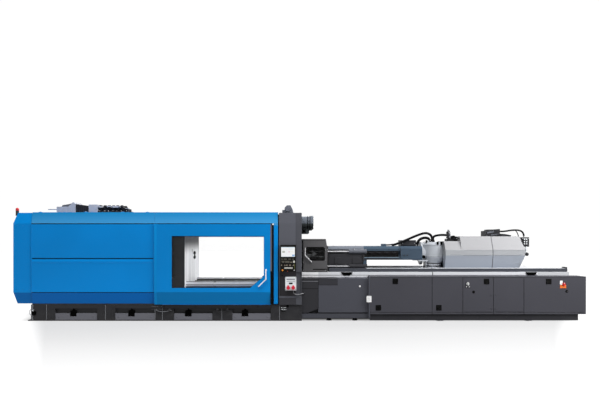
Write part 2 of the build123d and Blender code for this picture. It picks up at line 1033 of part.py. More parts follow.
with BuildPart() as control_screen:
    block(
        (screen_span[0] + seam, screen_span[1] - seam),
        (panel_face + seam, panel_face + screen_depth),
        (screen_low + seam, screen_high - seam),
    )
save(control_screen, "control_screen")

with BuildPart() as stop_knob:
    with Locations(Plane((knob_x, panel_face - knob_travel - seam, knob_z), z_dir=(0, -1, 0))):
        Cone(
            knob_radius,
            knob_top_radius,
            knob_height / 2,
            align=(Align.CENTER, Align.CENTER, Align.MIN),
        )
    with Locations(Plane((knob_x, panel_face - knob_travel - seam, knob_z), z_dir=(0, 1, 0))):
        Cylinder(
            knob_radius / 2,
            knob_height - knob_travel,
            align=(Align.CENTER, Align.CENTER, Align.MIN),
        )
save(stop_knob, "stop_knob")

# Socket box under the panel with a breaker window, two hinged lids over round sockets
socket_x = x_cover + socket_left
socket_back = -housing_half + cover_recess
socket_face = socket_back - socket_depth
lid_pivot_y = socket_face - seam - lid_hinge
lid_pivot_z = lid_z + lid_radius + lid_hinge
lid_places = [socket_x + socket_width / 2 + side * lid_pitch / 2 for side in (-1, 1)]
with BuildPart() as socket_box:
    block((socket_x, socket_x + socket_width), (socket_face, socket_back), (socket_low, socket_high))
    fillet(socket_box.edges().filter_by(Axis.Y), radius=lid_hinge * 2)
    for x in lid_places:
        with Locations(Plane((x, socket_face, lid_z), z_dir=(0, 1, 0))):
            Cylinder(
                socket_hole,
                lid_height,
                align=(Align.CENTER, Align.CENTER, Align.MIN),
                mode=Mode.SUBTRACT,
            )
    block(
        (socket_x + socket_width / 3, socket_x + socket_width * 2 / 3),
        (socket_face, socket_face + lid_hinge),
        (lid_z + lid_radius * 2, lid_z + lid_radius * 3),
        mode=Mode.SUBTRACT,
    )
save(socket_box, "socket_box")

with BuildPart() as socket_lids:
    for x in lid_places:
        with Locations(Plane((x, socket_face - seam, lid_z), z_dir=(0, -1, 0))):
            Cylinder(lid_radius, lid_height, align=(Align.CENTER, Align.CENTER, Align.MIN))
        rod((x - lid_radius / 2, x + lid_radius / 2), lid_pivot_y, lid_pivot_z, lid_hinge)
        block(
            (x - lid_radius / 2, x + lid_radius / 2),
            (lid_pivot_y - lid_hinge, lid_pivot_y),
            (lid_z + lid_radius / 2, lid_pivot_z),
        )
save(socket_lids, "socket_lids")

# Purge guard: an inverted trough over the nozzle that slides along the bed edges
with BuildPart() as purge_guard:
    guard_outline = [
        (guard_start, edge_top + shoe_gap),
        (guard_start, guard_top),
        (guard_end - guard_slant, guard_top),
        (guard_end, guard_top - guard_slant_drop),
        (guard_end, edge_top + shoe_gap),
    ]
    add(elevation(guard_outline, -guard_half, guard_half))
    block(
        (guard_start - guard_skin, guard_end + guard_skin),
        (-guard_half + guard_skin, guard_half - guard_skin),
        (edge_top - guard_skin, guard_top - guard_skin),
        mode=Mode.SUBTRACT,
    )
    window_outline = [
        (guard_pane_left + guard_cut, guard_pane_low),
        (guard_pane_left, guard_pane_low + guard_cut),
        (guard_pane_left, guard_pane_high),
        (guard_pane_right, guard_pane_high),
        (guard_pane_right, guard_pane_low),
    ]
    add(elevation(window_outline, -guard_half, guard_half), mode=Mode.SUBTRACT)
    grip_x = guard_pane_left - guard_handle_side
    bar_handle(
        [
            (grip_x, -guard_half - guard_handle_stand, guard_pane_high - guard_handle_low),
            (grip_x, -guard_half - guard_handle_stand, guard_handle_bend),
            (
                grip_x + guard_handle_drop,
                -guard_half - guard_handle_stand,
                guard_handle_bend - guard_handle_drop,
            ),
        ],
        -guard_half + guard_skin / 2,
        guard_handle_radius,
    )
save(purge_guard, "purge_guard")

with BuildPart() as purge_panes:
    for side in (-1, 1):
        pane_middle = side * (guard_half - guard_skin / 2)
        pane_outline = [
            (guard_pane_left + guard_cut, guard_pane_low + seam),
            (guard_pane_left + seam, guard_pane_low + guard_cut),
            (guard_pane_left + seam, guard_pane_high - seam),
            (guard_pane_right - seam, guard_pane_high - seam),
            (guard_pane_right - seam, guard_pane_low + seam),
        ]
        add(elevation(pane_outline, pane_middle - gate_pane / 2, pane_middle + gate_pane / 2))
save(purge_panes, "purge_panes")

# Bed under the injection unit: box girder on legs, tongue to the clamp base, linear tracks
with BuildPart() as bed_frame:
    block((tongue_end, bed_end), (-bed_half, bed_half), (bed_low, bed_top))
    block((x_bed, tongue_end), (-tongue_half, tongue_half), (tongue_low, bed_top))
    for index in range(leg_count):
        leg_x = tongue_end + index * (bed_end - tongue_end - leg_width) / (leg_count - 1)
        for side in (-1, 1):
            block(
                (leg_x, leg_x + leg_width),
                tuple(sorted((side * bed_half, side * (bed_half - leg_width)))),
                (0, bed_low),
            )
    for side in (-1, 1):
        block(
            (beam_start, bed_end),
            tuple(sorted((side * (track_y - track_width / 2), side * (track_y + track_width / 2)))),
            (bed_top, bed_top + track_height),
        )
save(bed_frame, "bed_frame")

with BuildPart() as bed_edge_rails:
    for side in (-1, 1):
        block(
            (x_bed, bed_end),
            tuple(sorted((side * (bed_half - edge_lip), side * bed_half))),
            (bed_top, edge_top),
        )
        block(
            (x_bed, bed_end),
            tuple(sorted((side * bed_half, side * edge_outer))),
            (bed_top, edge_top),
        )
save(bed_edge_rails, "bed_edge_rails")

with BuildPart() as guide_beams:
    for side in (-1, 1):
        block(
            (beam_start, bed_end),
            tuple(sorted((side * (bed_half - edge_lip), side * beam_outer))),
            (edge_top, beam_top),
        )
save(guide_beams, "guide_beams")

cover_back = -bar_spacing_y / 2 - cylinder_radius - cover_return

# Covers of the bed beside the clamp unit: a dark one with a cut foot and a long grey one
with BuildPart() as bed_covers:
    dark_outline = [
        (x_bed + seam, cover_foot_z),
        (x_bed + cover_bend_x / 2, cover_foot_z),
        (dark_cover_end, cover_bend_z),
        (dark_cover_end, edge_low),
        (x_bed + seam, edge_low),
    ]
    add(elevation(dark_outline, -bed_cover_front, cover_back))
    block(
        (dark_cover_end, bed_cover_end),
        (-bed_cover_front, -bed_half),
        (cover_rail_high, edge_low),
    )
    block(
        (x_bed + seam, bed_cover_end),
        (-bed_cover_front, cover_back),
        (cover_rail_low, cover_rail_high),
    )
    block(
        (x_bed + seam, dark_cover_end),
        (-bed_cover_front + toe_inset, -bed_cover_front + toe_inset + cabinet_wall),
        (cover_rail_high, cover_bend_z),
    )
    for foot_x in cover_feet:
        with Locations((foot_x, -bed_cover_front + cover_foot_radius * 2, cover_rail_low / 2)):
            Cylinder(cover_foot_radius, cover_rail_low)
save(bed_covers, "bed_covers")

cabinet_rear = -edge_outer - seam

# Switch cabinets: carcass on a plinth, two hinged doors and two rotary switches
with BuildPart() as cabinet_body:
    block((cabinet_left, x_end), (-cabinet_front, cabinet_rear), (plinth_top, cabinet_top))
    block(
        (cabinet_left, plinth_end),
        (-cabinet_front + cabinet_wall, cabinet_rear),
        (plinth_low, plinth_top),
    )
    for foot_x in plinth_feet:
        for foot_y in (-cabinet_front + 3 * cabinet_wall, cabinet_rear - 3 * cabinet_wall):
            with Locations((foot_x, foot_y, plinth_low / 2)):
                Cylinder(plinth_foot_radius, plinth_low)
    for left, right in ((seam_c, seam_d), (seam_d, seam_e)):
        block(
            (left, right),
            (-cabinet_front, -cabinet_front + door_skin),
            (door_low, door_high),
            mode=Mode.SUBTRACT,
        )
        block(
            (left + cabinet_wall, right - cabinet_wall),
            (-cabinet_front, cabinet_rear - cabinet_wall),
            (door_low + cabinet_wall, door_high - cabinet_wall),
            mode=Mode.SUBTRACT,
        )
    for x in (seam_b, seam_e):
        block(
            (x - panel_seam / 2, x + panel_seam / 2),
            (-cabinet_front, -cabinet_front + panel_seam),
            (door_low, cabinet_top),
            mode=Mode.SUBTRACT,
        )
    block(
        (cabinet_left, x_end),
        (-cabinet_front, -cabinet_front + panel_seam),
        (door_low - panel_seam, door_low),
        mode=Mode.SUBTRACT,
    )
    with Locations(Plane((main_switch_x, -cabinet_front, main_switch_z), z_dir=(0, 1, 0))):
        Cylinder(
            switch_radius / 3 + seam,
            switch_depth,
            align=(Align.CENTER, Align.CENTER, Align.MIN),
            mode=Mode.SUBTRACT,
        )
save(cabinet_body, "cabinet_body")

door_face = -cabinet_front
for name, left, right in (("cabinet_door_left", seam_c, seam_d), ("cabinet_door_right", seam_d, seam_e)):
    with BuildPart() as door:
        block(
            (left + door_gap, right - door_gap),
            (door_face, door_face + door_skin - seam),
            (door_low + door_gap, door_high - door_gap),
        )
        if left == seam_c:
            with Locations(Plane((small_switch_x, door_face, small_switch_z), z_dir=(0, 1, 0))):
                Cylinder(
                    switch_radius / 3 + seam,
                    door_skin,
                    align=(Align.CENTER, Align.CENTER, Align.MIN),
                    mode=Mode.SUBTRACT,
                )
    save(door, name)

for name, x, z, depth in (
    ("main_switch", main_switch_x, main_switch_z, switch_depth),
    ("small_switch", small_switch_x, small_switch_z, door_skin),
):
    with BuildPart() as switch:
        with Locations(Plane((x, door_face - seam, z), z_dir=(0, -1, 0))):
            Cylinder(switch_radius, switch_radius / 2, align=(Align.CENTER, Align.CENTER, Align.MIN))
        block(
            (x - switch_radius / 4, x + switch_radius / 4),
            (door_face - switch_grip_face, door_face - switch_radius / 2),
            (z - switch_grip, z + switch_grip),
        )
        with Locations(Plane((x, door_face - seam, z), z_dir=(0, 1, 0))):
            Cylinder(switch_radius / 3, depth - seam, align=(Align.CENTER, Align.CENTER, Align.MIN))
    save(switch, name)

# Front support: a cradle on the tracks whose cheeks hold the barrel shroud between them


def shoe(start, end):
    """Carriage plate that rides on both linear tracks, in the part being built."""
    low = bed_top + track_height + shoe_gap
    block((start, end), (-saddle_half, saddle_half), (low, saddle_top))
    for side in (-1, 1):
        for edge in (-1, 1):
            inner = side * track_y + edge * (track_width / 2 + shoe_gap)
            outer = inner + edge * shoe_lip
            block((start, end), tuple(sorted((inner, outer))), (low - shoe_lip, low))


with BuildPart() as front_support:
    shoe(unit_start, support_end)
    block((unit_start, support_end), (-support_half, support_half), (saddle_top, support_top))
    block(
        (unit_start, support_end),
        (-shroud_half - cheek_gap, shroud_half + cheek_gap),
        (shroud_low, support_top),
        mode=Mode.SUBTRACT,
    )
    for side in (-1, 1):
        rod((ram_start, support_end), side * guide_y, guide_z, guide_radius)
        rod((ram_start, ram_start + rod_in), side * guide_y, guide_z, rod_radius + rod_fit, Mode.SUBTRACT)
save(front_support, "front_support")

# Barrel shroud: bevelled steel trough with sunk side bays between an upper and a lower bar
with BuildPart() as barrel_shroud:
    with BuildSketch(Plane.YZ.offset(unit_start)):
        with Locations((0, (shroud_low + shroud_high) / 2)):
            Rectangle(2 * shroud_half, shroud_high - shroud_low)
        with Locations((0, axis_height)):
            Circle(shroud_bore, mode=Mode.SUBTRACT)
    extrude(amount=shroud_end - unit_start)
    top_edges = barrel_shroud.edges().filter_by(Axis.X).group_by(Axis.Z)[-1]
    chamfer(top_edges, length=shroud_bevel)
    for side in (-1, 1):
        block(
            (support_end, shroud_end),
            tuple(sorted((side * (shroud_half - bar_recess_depth), side * shroud_half))),
            (bar_recess_low, bar_recess_high),
            mode=Mode.SUBTRACT,
        )
    block(
        (fitting_x - fitting_length, fitting_x),
        (fitting_y - fitting_size / 2, fitting_y + fitting_size / 2),
        (shroud_high, shroud_high + fitting_size),
    )
save(barrel_shroud, "barrel_shroud")

# Plasticising barrel with its nozzle and heater bands, turned about the machine axis
with BuildPart() as barrel:
    with BuildSketch(Plane.XZ) as half_section:
        with BuildLine():
            Polyline(
                (nozzle_tip, axis_height + nozzle_orifice),
                (nozzle_tip, axis_height + nozzle_tip_radius),
                (nozzle_tip + nozzle_radius, axis_height + nozzle_radius),
                (barrel_start, axis_height + nozzle_radius),
                (barrel_start + nozzle_radius, axis_height + barrel_radius),
                (feed_end, axis_height + barrel_radius),
                (feed_end, axis_height + barrel_bore),
                (barrel_start + barrel_radius, axis_height + barrel_bore),
                (barrel_start, axis_height + nozzle_orifice),
                close=True,
            )
        make_face()
    revolve(axis=Axis((0, 0, axis_height), (1, 0, 0)))
    for index in range(band_count):
        band_x = band_start + index * band_pitch
        rod((band_x, band_x + band_width), 0, axis_height, band_radius)
    rod((barrel_start + barrel_radius, shroud_end), 0, axis_height, barrel_bore, Mode.SUBTRACT)
    block(
        (throat_x - barrel_bore / 2, throat_x + barrel_bore / 2),
        (-barrel_bore / 2, barrel_bore / 2),
        (axis_height, axis_height + band_radius),
        mode=Mode.SUBTRACT,
    )
save(barrel, "barrel")

# Feed block clamped round the barrel, with the throat that a hopper stands on
with BuildPart() as feed_block:
    block((shroud_end, feed_end), (-feed_half, feed_half), (shroud_low, shroud_high))
    upper_edges = feed_block.edges().filter_by(Axis.X).group_by(Axis.Z)[-1]
    chamfer(upper_edges, length=shroud_bevel)
    block(
        (throat_x - throat_flange / 2, throat_x + throat_flange / 2),
        (-throat_flange / 2, throat_flange / 2),
        (shroud_high, shroud_high + throat_height),
    )
    rod((shroud_end, feed_end), 0, axis_height, barrel_radius + barrel_fit, Mode.SUBTRACT)
    block(
        (throat_x - throat / 2, throat_x + throat / 2),
        (-throat / 2, throat / 2),
        (axis_height + barrel_radius, shroud_high + throat_height),
        mode=Mode.SUBTRACT,
    )
    with Locations(Plane.XY.offset(shroud_high + throat_height)):
        with Locations((throat_x, 0)):
            with GridLocations(throat_bolts, throat_bolts, 2, 2):
                Hole(throat_bolt_radius, depth=throat_height / 2)
save(feed_block, "feed_block")

# Silver casting: a bowl-shaped gear case on a round foot, bored for the injection piston
with BuildPart() as casting:
    with BuildSketch(Plane.XZ):
        with BuildLine():
            Polyline(
                (casting_x, saddle_top),
                (casting_x + foot_radius, saddle_top),
                (casting_x + foot_radius, casting_foot),
                (casting_x + casting_radius, casting_waist),
                (casting_x + casting_radius, casting_top - shroud_bevel),
                (casting_x + casting_radius - shroud_bevel, casting_top),
                (casting_x, casting_top),
                close=True,
            )
        make_face()
    revolve(axis=Axis((casting_x, 0, 0), (0, 0, 1)))
    rod((feed_end, drive_start), 0, axis_height, flange_radius)
    rod((feed_end, drive_start), 0, axis_height, piston_radius + seam, Mode.SUBTRACT)
save(casting, "casting")

with BuildPart() as injection_piston:
    rod((piston_start, piston_start + piston_length), 0, axis_height, piston_radius)
save(injection_piston, "injection_piston")

# Screw: a plain core with a tapered tip, long enough to meet the piston behind the barrel
with BuildPart() as screw:
    with BuildSketch(Plane.XZ):
        with BuildLine():
            Polyline(
                (screw_tip, axis_height),
                (screw_tip + screw_radius * 2, axis_height + screw_radius),
                (piston_start - seam, axis_height + screw_radius),
                (piston_start - seam, axis_height),
                close=True,
            )
        make_face()
    revolve(axis=Axis((0, 0, axis_height), (1, 0, 0)))
save(screw, "screw")

# Rear carriage plate under the casting and the drive
with BuildPart() as rear_carriage:
    shoe(saddle_start, saddle_end)
save(rear_carriage, "rear_carriage")


def drive_outline(top):
    """Six-sided section of the drive cover with an upright face between two slopes."""
    return [
        (-drive_low_half, saddle_top),
        (-drive_half, drive_edge_low),
        (-drive_half, drive_edge_high),
        (-drive_top_half, top),
        (drive_top_half, top),
        (drive_half, drive_edge_high),
        (drive_half, drive_edge_low),
        (drive_low_half, saddle_top),
    ]


# Drive cover: a front part that steps up and a rear part whose tail leans to the middle
with BuildPart() as drive_cover_front:
    add(section(drive_outline(drive_step_top), drive_start, drive_step))
    add(section(drive_outline(drive_top), drive_step, drive_seam - drive_seam_gap))
save(drive_cover_front, "drive_cover_front")

with BuildPart() as drive_cover_rear:
    add(section(drive_outline(drive_top), drive_seam - seam, drive_end))
    tail_outline = [
        (drive_seam - drive_seam_gap + seam, saddle_top),
        (drive_seam - drive_seam_gap + seam, drive_top),
        (drive_end - drive_tail, drive_top),
        (drive_end, drive_edge_high),
        (drive_end, drive_edge_low),
        (drive_end - drive_tail - drive_tail / 2, saddle_top),
    ]
    add(elevation(tail_outline, -drive_half, drive_half), mode=Mode.INTERSECT)
save(drive_cover_rear, "drive_cover_rear")

# Carriage rods held by the fixed platen, cylinders beside the shroud that pull along them
with BuildPart() as carriage_rods:
    for side in (-1, 1):
        for y, z in ((side * ram_y, ram_z), (side * guide_y, guide_z)):
            rod((x_fixed_back, ram_start + rod_in), y, z, rod_radius)
save(carriage_rods, "carriage_rods")

with BuildPart() as carriage_cylinders:
    for side in (-1, 1):
        rod((ram_start, ram_end), side * ram_y, ram_z, ram_radius)
        rod((ram_start, ram_start + rod_in), side * ram_y, ram_z, rod_radius + rod_fit, Mode.SUBTRACT)
save(carriage_cylinders, "carriage_cylinders")

# Gear on the drive: valve post, sloping unit on top and the connector block at the tail
with BuildPart() as drive_gear:
    block(
        (post_x, post_x + post_length),
        (-post_depth / 2, post_depth / 2),
        (drive_step_top, drive_step_top + post_foot),
    )
    with Locations((post_x + post_length / 4, 0, drive_step_top + post_foot + post_height / 2)):
        Cylinder(post_radius, post_height)
    unit_outline = [
        (unit_x, drive_top),
        (unit_x, drive_top + unit_low),
        (unit_x + unit_length, drive_top + unit_high),
        (unit_x + unit_length, drive_top),
    ]
    add(elevation(unit_outline, -unit_depth / 2, unit_depth / 2))
    block(
        (drive_end - drive_tail / 2, drive_end + connector_reach),
        (-connector_half, connector_half),
        (connector_low, connector_high),
    )
    add(drive_cover_rear.part, mode=Mode.SUBTRACT)
save(drive_gear, "drive_gear")

# Signal light on the leaning end wall: a round post under a red lens
beacon_place = (x_cap + beacon_x, -(housing_half - beacon_inset))
with BuildPart() as beacon:
    with Locations((*beacon_place, housing_top - beacon_foot)):
        Cylinder(
            beacon_radius,
            beacon_foot + beacon_shoulder,
            align=(Align.CENTER, Align.CENTER, Align.MIN),
        )
    with Locations((*beacon_place, housing_top + beacon_shoulder)):
        Cone(
            beacon_radius,
            beacon_radius / 2,
            beacon_height - beacon_shoulder,
            align=(Align.CENTER, Align.CENTER, Align.MIN),
        )
    add(elevation(cap_elevation(0), -housing_half, housing_half), mode=Mode.SUBTRACT)
save(beacon, "beacon")

# Roof gear: grey box with a raised shoulder, ribbed duct, grey block and a valve stack
roof_start = x_cap + roof_gear_x
duct_start = roof_start + roof_box_length
block_start = duct_start + duct_length
valves_start = block_start + block_length
near_y = roof_y - roof_half_depth
far_y = roof_y + roof_half_depth
with BuildPart() as roof_cabinet:
    box_outline = [
        (roof_start, housing_top),
        (roof_start, housing_top + roof_box_height),
        (roof_start + roof_box_shoulder, housing_top + roof_box_height),
        (roof_start + roof_box_peak_x, housing_top + roof_box_peak),
        (duct_start - seam, housing_top + duct_high),
        (duct_start - seam, housing_top),
    ]
    add(elevation(box_outline, near_y, far_y))
    block(
        (block_start + seam, valves_start - seam),
        (near_y, far_y),
        (housing_top, housing_top + block_height),
    )
save(roof_cabinet, "roof_cabinet")

with BuildPart() as roof_valve_gear:
    duct_outline = [
        (duct_start, housing_top),
        (duct_start, housing_top + duct_high),
        (block_start, housing_top + duct_low),
        (block_start, housing_top),
    ]
    add(elevation(duct_outline, near_y + duct_rib_height, far_y - duct_rib_height))
    for index in range(duct_ribs):
        rib_x = duct_start + (index + 0.5) * duct_length / duct_ribs
        rib_outline = [
            (rib_x, housing_top),
            (rib_x, housing_top + duct_low),
            (rib_x + duct_rib_height, housing_top + duct_low),
            (rib_x + duct_rib_height, housing_top),
        ]
        add(elevation(rib_outline, near_y, far_y))
    block(
        (valves_start, valves_start + valve_plate_length),
        (near_y, far_y),
        (housing_top, housing_top + valve_plate_height),
    )
    block(
        (valves_start, valves_start + valve_body_length),
        (near_y + valve_radius * 2, far_y - valve_radius * 2),
        (housing_top + valve_plate_height, housing_top + valve_body_height),
    )
    for index in range(valve_count):
        valve_x = valves_start + (index + 0.5) * valve_body_length / valve_count
        for y in (near_y + valve_radius * 3, far_y - valve_radius * 3):
            with Locations((valve_x, y, housing_top + valve_body_height + valve_height / 2)):
                Cylinder(valve_radius, valve_height)
save(roof_valve_gear, "roof_valve_gear")

# Hydraulic unit in the drive end: oil tank, two motors with pumps and a manifold
with BuildPart() as hydraulic_unit:
    block((tank_start, tank_end), (-tank_half, tank_half), (base_height, tank_top))
    for side in (-1, 1):
        motor_z = tank_top + motor_lift + motor_radius
        rod((tank_start, tank_start + motor_length), side * motor_y, motor_z, motor_radius)
        rod((tank_start + motor_length, tank_end), side * motor_y, motor_z, pump_radius)
        block(
            (tank_start, tank_end),
            tuple(sorted((side * (motor_y - pump_radius), side * (motor_y + pump_radius)))),
            (tank_top, motor_z - pump_radius / 2),
        )
    block(
        (tank_start, tank_end),
        (-manifold_half, manifold_half),
        (tank_top, tank_top + manifold_height),
    )
save(hydraulic_unit, "hydraulic_unit")


def hose(points, diameter):
    """A round hose along straight runs joined by tangent arcs, with its arcs' radii."""
    radii = []
    for before, corner, after in zip(points[:-2], points[1:-1], points[2:]):
        first = Vector(corner) - Vector(before)
        second = Vector(after) - Vector(corner)
        turn = first.get_angle(second)
        shorter = min(first.length, second.length)
        radii.append(bend_share * shorter / math.tan(math.radians(turn / 2)))
    with BuildPart() as tube:
        with BuildLine() as route:
            FilletPolyline(*points, radius=radii)
        with BuildSketch(Plane(points[0], z_dir=Vector(points[1]) - Vector(points[0]))):
            Circle(diameter / 2)
        sweep(path=route.wires()[0])
    wire = route.wires()[0]
    expected = math.pi * diameter**2 / 4 * wire.length
    print("hose length", round(wire.length), "volume share", round(tube.part.volume / expected, 4))
    print("  radii", [round(radius) for radius in radii])
    return tube


# Hoses of the injection unit and the short cable under the socket box, routed by hand
hose_long = hose(
    [
        (x_bed + 2195.3, -260, 1822),
        (x_bed + 2415, -260, 1823),
        (x_bed + 2705, -258, 1940),
        (x_bed + 2985, -246, 2065),
        (x_bed + 3225, -215, 2142),
        (x_bed + 3370, -160, 2100),
        (x_bed + 3425, -128, 2010),
        (x_bed + 3427, -120, 1960),
        (x_bed + 3427, -120, 1899.3),
    ],
    long_hose_diameter,
)
save(hose_long, "hose_long")

hose_thick = hose(
    [
        (x_bed + 3045, -60, 1790.3),
        (x_bed + 3045, -60, 1862),
        (x_bed + 3087, -56, 1938),
        (x_bed + 3157, -52, 1992),
        (x_bed + 3263, -46, 2012),
        (x_bed + 3345, -42, 1996),
        (x_bed + 3377, -40, 1948),
        (x_bed + 3377, -40, 1899.3),
    ],
    thick_hose_diameter,
)
save(hose_thick, "hose_thick")

hose_rear = hose(
    [
        (x_bed + 5180.3, -60, 2176),
        (x_bed + 5345, -60, 2177),
        (x_bed + 5535, -63, 2209),
        (x_bed + 5705, -64, 2214),
        (x_bed + 5813, -60, 2176),
        (x_bed + 5857, -58, 2096),
        (x_bed + 5857, -58, 2022.3),
    ],
    rear_hose_diameter,
)
save(hose_rear, "hose_rear")

socket_cable = hose(
    [
        (x_bed - 205, -1430, 741.7),
        (x_bed - 205, -1430, 705),
        (x_bed - 193, -1433, 672),
        (x_bed - 163, -1436, 650),
        (x_bed - 123, -1438, 643),
        (x_bed - 77, -1439, 646),
        (x_bed - 33, -1436, 652),
        (x_bed + 3, -1424, 657),
        (x_bed + 27, -1398, 661),
        (x_bed + 37, -1364, 665),
        (x_bed + 37, -1330.3, 665),
    ],
    socket_cable_diameter,
)
save(socket_cable, "socket_cable")
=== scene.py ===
import math
from itertools import product

import bmesh
import bpy
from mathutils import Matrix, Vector


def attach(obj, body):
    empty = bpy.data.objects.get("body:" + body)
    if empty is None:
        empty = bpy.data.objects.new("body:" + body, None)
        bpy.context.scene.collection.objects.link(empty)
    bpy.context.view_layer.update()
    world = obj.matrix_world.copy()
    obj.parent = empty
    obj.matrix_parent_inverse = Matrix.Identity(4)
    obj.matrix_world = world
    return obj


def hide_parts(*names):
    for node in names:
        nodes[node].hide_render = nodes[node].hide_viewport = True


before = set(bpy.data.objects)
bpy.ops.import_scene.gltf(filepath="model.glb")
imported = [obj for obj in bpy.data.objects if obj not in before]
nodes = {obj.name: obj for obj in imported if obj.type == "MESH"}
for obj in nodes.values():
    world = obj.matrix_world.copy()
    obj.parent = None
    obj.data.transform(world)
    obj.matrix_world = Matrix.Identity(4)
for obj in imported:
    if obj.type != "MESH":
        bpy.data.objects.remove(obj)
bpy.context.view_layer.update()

# Studio: a pale floor that runs out of view, a white surround and broad soft lights above
# and in front of the machine. The camera stands level, square to the operator's side.
EYE_HEIGHT = 1.95
EYE_DISTANCE = 14.0
FRONT_PLANE = -1.44
IMAGE_WIDTH = 14.4
HORIZON_SHIFT = 40 / 600

camera_data = bpy.data.cameras.new("camera")
camera_data.sensor_width = 36.0
camera_data.lens = camera_data.sensor_width * EYE_DISTANCE / IMAGE_WIDTH
camera_data.shift_y = HORIZON_SHIFT
camera_data.clip_end = 200.0
camera = bpy.data.objects.new("camera", camera_data)
camera.location = (0.012, FRONT_PLANE - EYE_DISTANCE, EYE_HEIGHT)
camera.rotation_euler = (math.pi / 2, 0, 0)
bpy.context.scene.collection.objects.link(camera)
bpy.context.scene.camera = camera
bpy.context.scene.view_settings.view_transform = "Standard"

world = bpy.data.worlds.new("studio")
world.use_nodes = True
world.node_tree.nodes["Background"].inputs["Color"].default_value = (1.0, 1.0, 1.0, 1.0)
world.node_tree.nodes["Background"].inputs["Strength"].default_value = 0.3
bpy.context.scene.world = world

for name, place, aim, size, power in (
    ("key", (0.0, -7.5, 12.5), (0.0, -1.2, 1.2), (20.0, 4.0), 2200.0),
    ("right", (10.0, -5.0, 7.0), (-2.0, 0.0, 1.4), (5.0, 5.0), 1100.0),
    ("rear", (0.0, 9.0, 10.0), (0.0, 1.2, 1.2), (18.0, 4.0), 1500.0),
    ("inside", (-0.7, -0.1, 1.25), (-2.84, -0.1, 1.2), (0.9, 0.5), 20.0),
):
    light_data = bpy.data.lights.new(name, "AREA")
    light_data.shape = "RECTANGLE"
    light_data.size, light_data.size_y = size
    light_data.energy = power
    light = bpy.data.objects.new(name, light_data)
    light.location = place
    light.visible_glossy = name != "key"
    light.rotation_euler = (Vector(aim) - Vector(place)).to_track_quat("-Z", "Y").to_euler()
    bpy.context.scene.collection.objects.link(light)


# The floor is a pale seamless sheet and the surround a white cyclorama far behind. Neither throws light back
# onto the machine, as with a product cut out on white. The floor's glow is darkened under and round the
# machine, a painted shadow.


class Wire:
    """A value or colour on its way through one material; arithmetic on it adds Math nodes."""

    def __init__(self, tree, socket=None):
        self.tree = tree
        self.socket = socket

    def node(self, kind, settings=None, inputs=None, output=0):
        """Adds a node, sets it up, then fills its sockets with values or links."""
        made = self.tree.nodes.new(kind)
        for name, value in (settings or {}).items():
            if name == "stops":
                ramp = made.color_ramp.elements
                while len(ramp) < len(value):
                    ramp.new(0.5)
                for stop, (place, colour) in zip(ramp, value):
                    stop.position = place
                    stop.color = colour
            else:
                setattr(made, name, value)
        for name, value in (inputs or {}).items():
            if isinstance(value, Wire):
                self.tree.links.new(value.socket, made.inputs[name])
            else:
                made.inputs[name].default_value = value
        return Wire(self.tree, made.outputs[output])

    def maths(self, operation, first, second=0.0):
        return self.node("ShaderNodeMath", {"operation": operation}, {0: first, 1: second})

    def __add__(self, other):
        return self.maths("ADD", self, other)

    __radd__ = __add__

    def __mul__(self, other):
        return self.maths("MULTIPLY", self, other)

    __rmul__ = __mul__

    def __sub__(self, other):
        return self.maths("SUBTRACT", self, other)

    def __rsub__(self, other):
        return self.maths("SUBTRACT", other, self)

    def axis(self, name):
        """This place's distance along one axis."""
        return self.node("ShaderNodeSeparateXYZ", {}, {"Vector": self}, name)

    def size(self):
        return self.maths("ABSOLUTE", self)

    def most(self, other):
        return self.maths("MAXIMUM", self, other)

    def step(self, width):
        """The value held steady over each width."""
        return self.maths("SNAP", self, width)

    def __gt__(self, other):
        return self.maths("GREATER_THAN", self, other)

    def __lt__(self, other):
        return self.maths("LESS_THAN", self, other)

    def ramp(self, low, high):
        """0 below low, 1 above high and a smooth rise between them."""
        return self.node(
            "ShaderNodeMapRange",
            {"interpolation_type": "SMOOTHSTEP"},
            {"Value": self, "From Min": low, "From Max": high},
        )

    def blend(self, colour, other):
        """This mask's mix from one colour to another."""
        return self.node(
            "ShaderNodeMix", {"data_type": "RGBA"}, {0: self, 6: colour, 7: other}, 2
        )

    def feed(self, node, name):
        self.tree.links.new(self.socket, node.inputs[name])


def blank(name, colour, roughness, metallic=0.0):
    """A new material, its shader and the place of each point in the machine's frame."""
    material = bpy.data.materials.new(name)
    material.use_nodes = True
    shader = material.node_tree.nodes["Principled BSDF"]
    shader.inputs["Base Color"].default_value = (*colour, 1.0)
    shader.inputs["Roughness"].default_value = roughness
    shader.inputs["Metallic"].default_value = metallic
    place = Wire(material.node_tree).node("ShaderNodeTexCoord", output="Object")
    material.diffuse_color = (*colour, 1.0)
    return material, shader, place


def noise(place, scale, detail=3.0, stretch=(1.0, 1.0, 1.0)):
    """Cloudy noise of so many waves a metre, drawn out along an axis by a stretch."""
    if stretch != (1.0, 1.0, 1.0):
        place = place.node("ShaderNodeMapping", {}, {"Vector": place, "Scale": stretch})
    return place.node(
        "ShaderNodeTexNoise", {}, {"Vector": place, "Scale": scale, "Detail": detail}, "Fac"
    )


def tint(colour, share=1.0):
    """A colour made lighter or darker by a share, as a socket takes it."""
    return (*(min(1.0, part * share) for part in colour), 1.0)


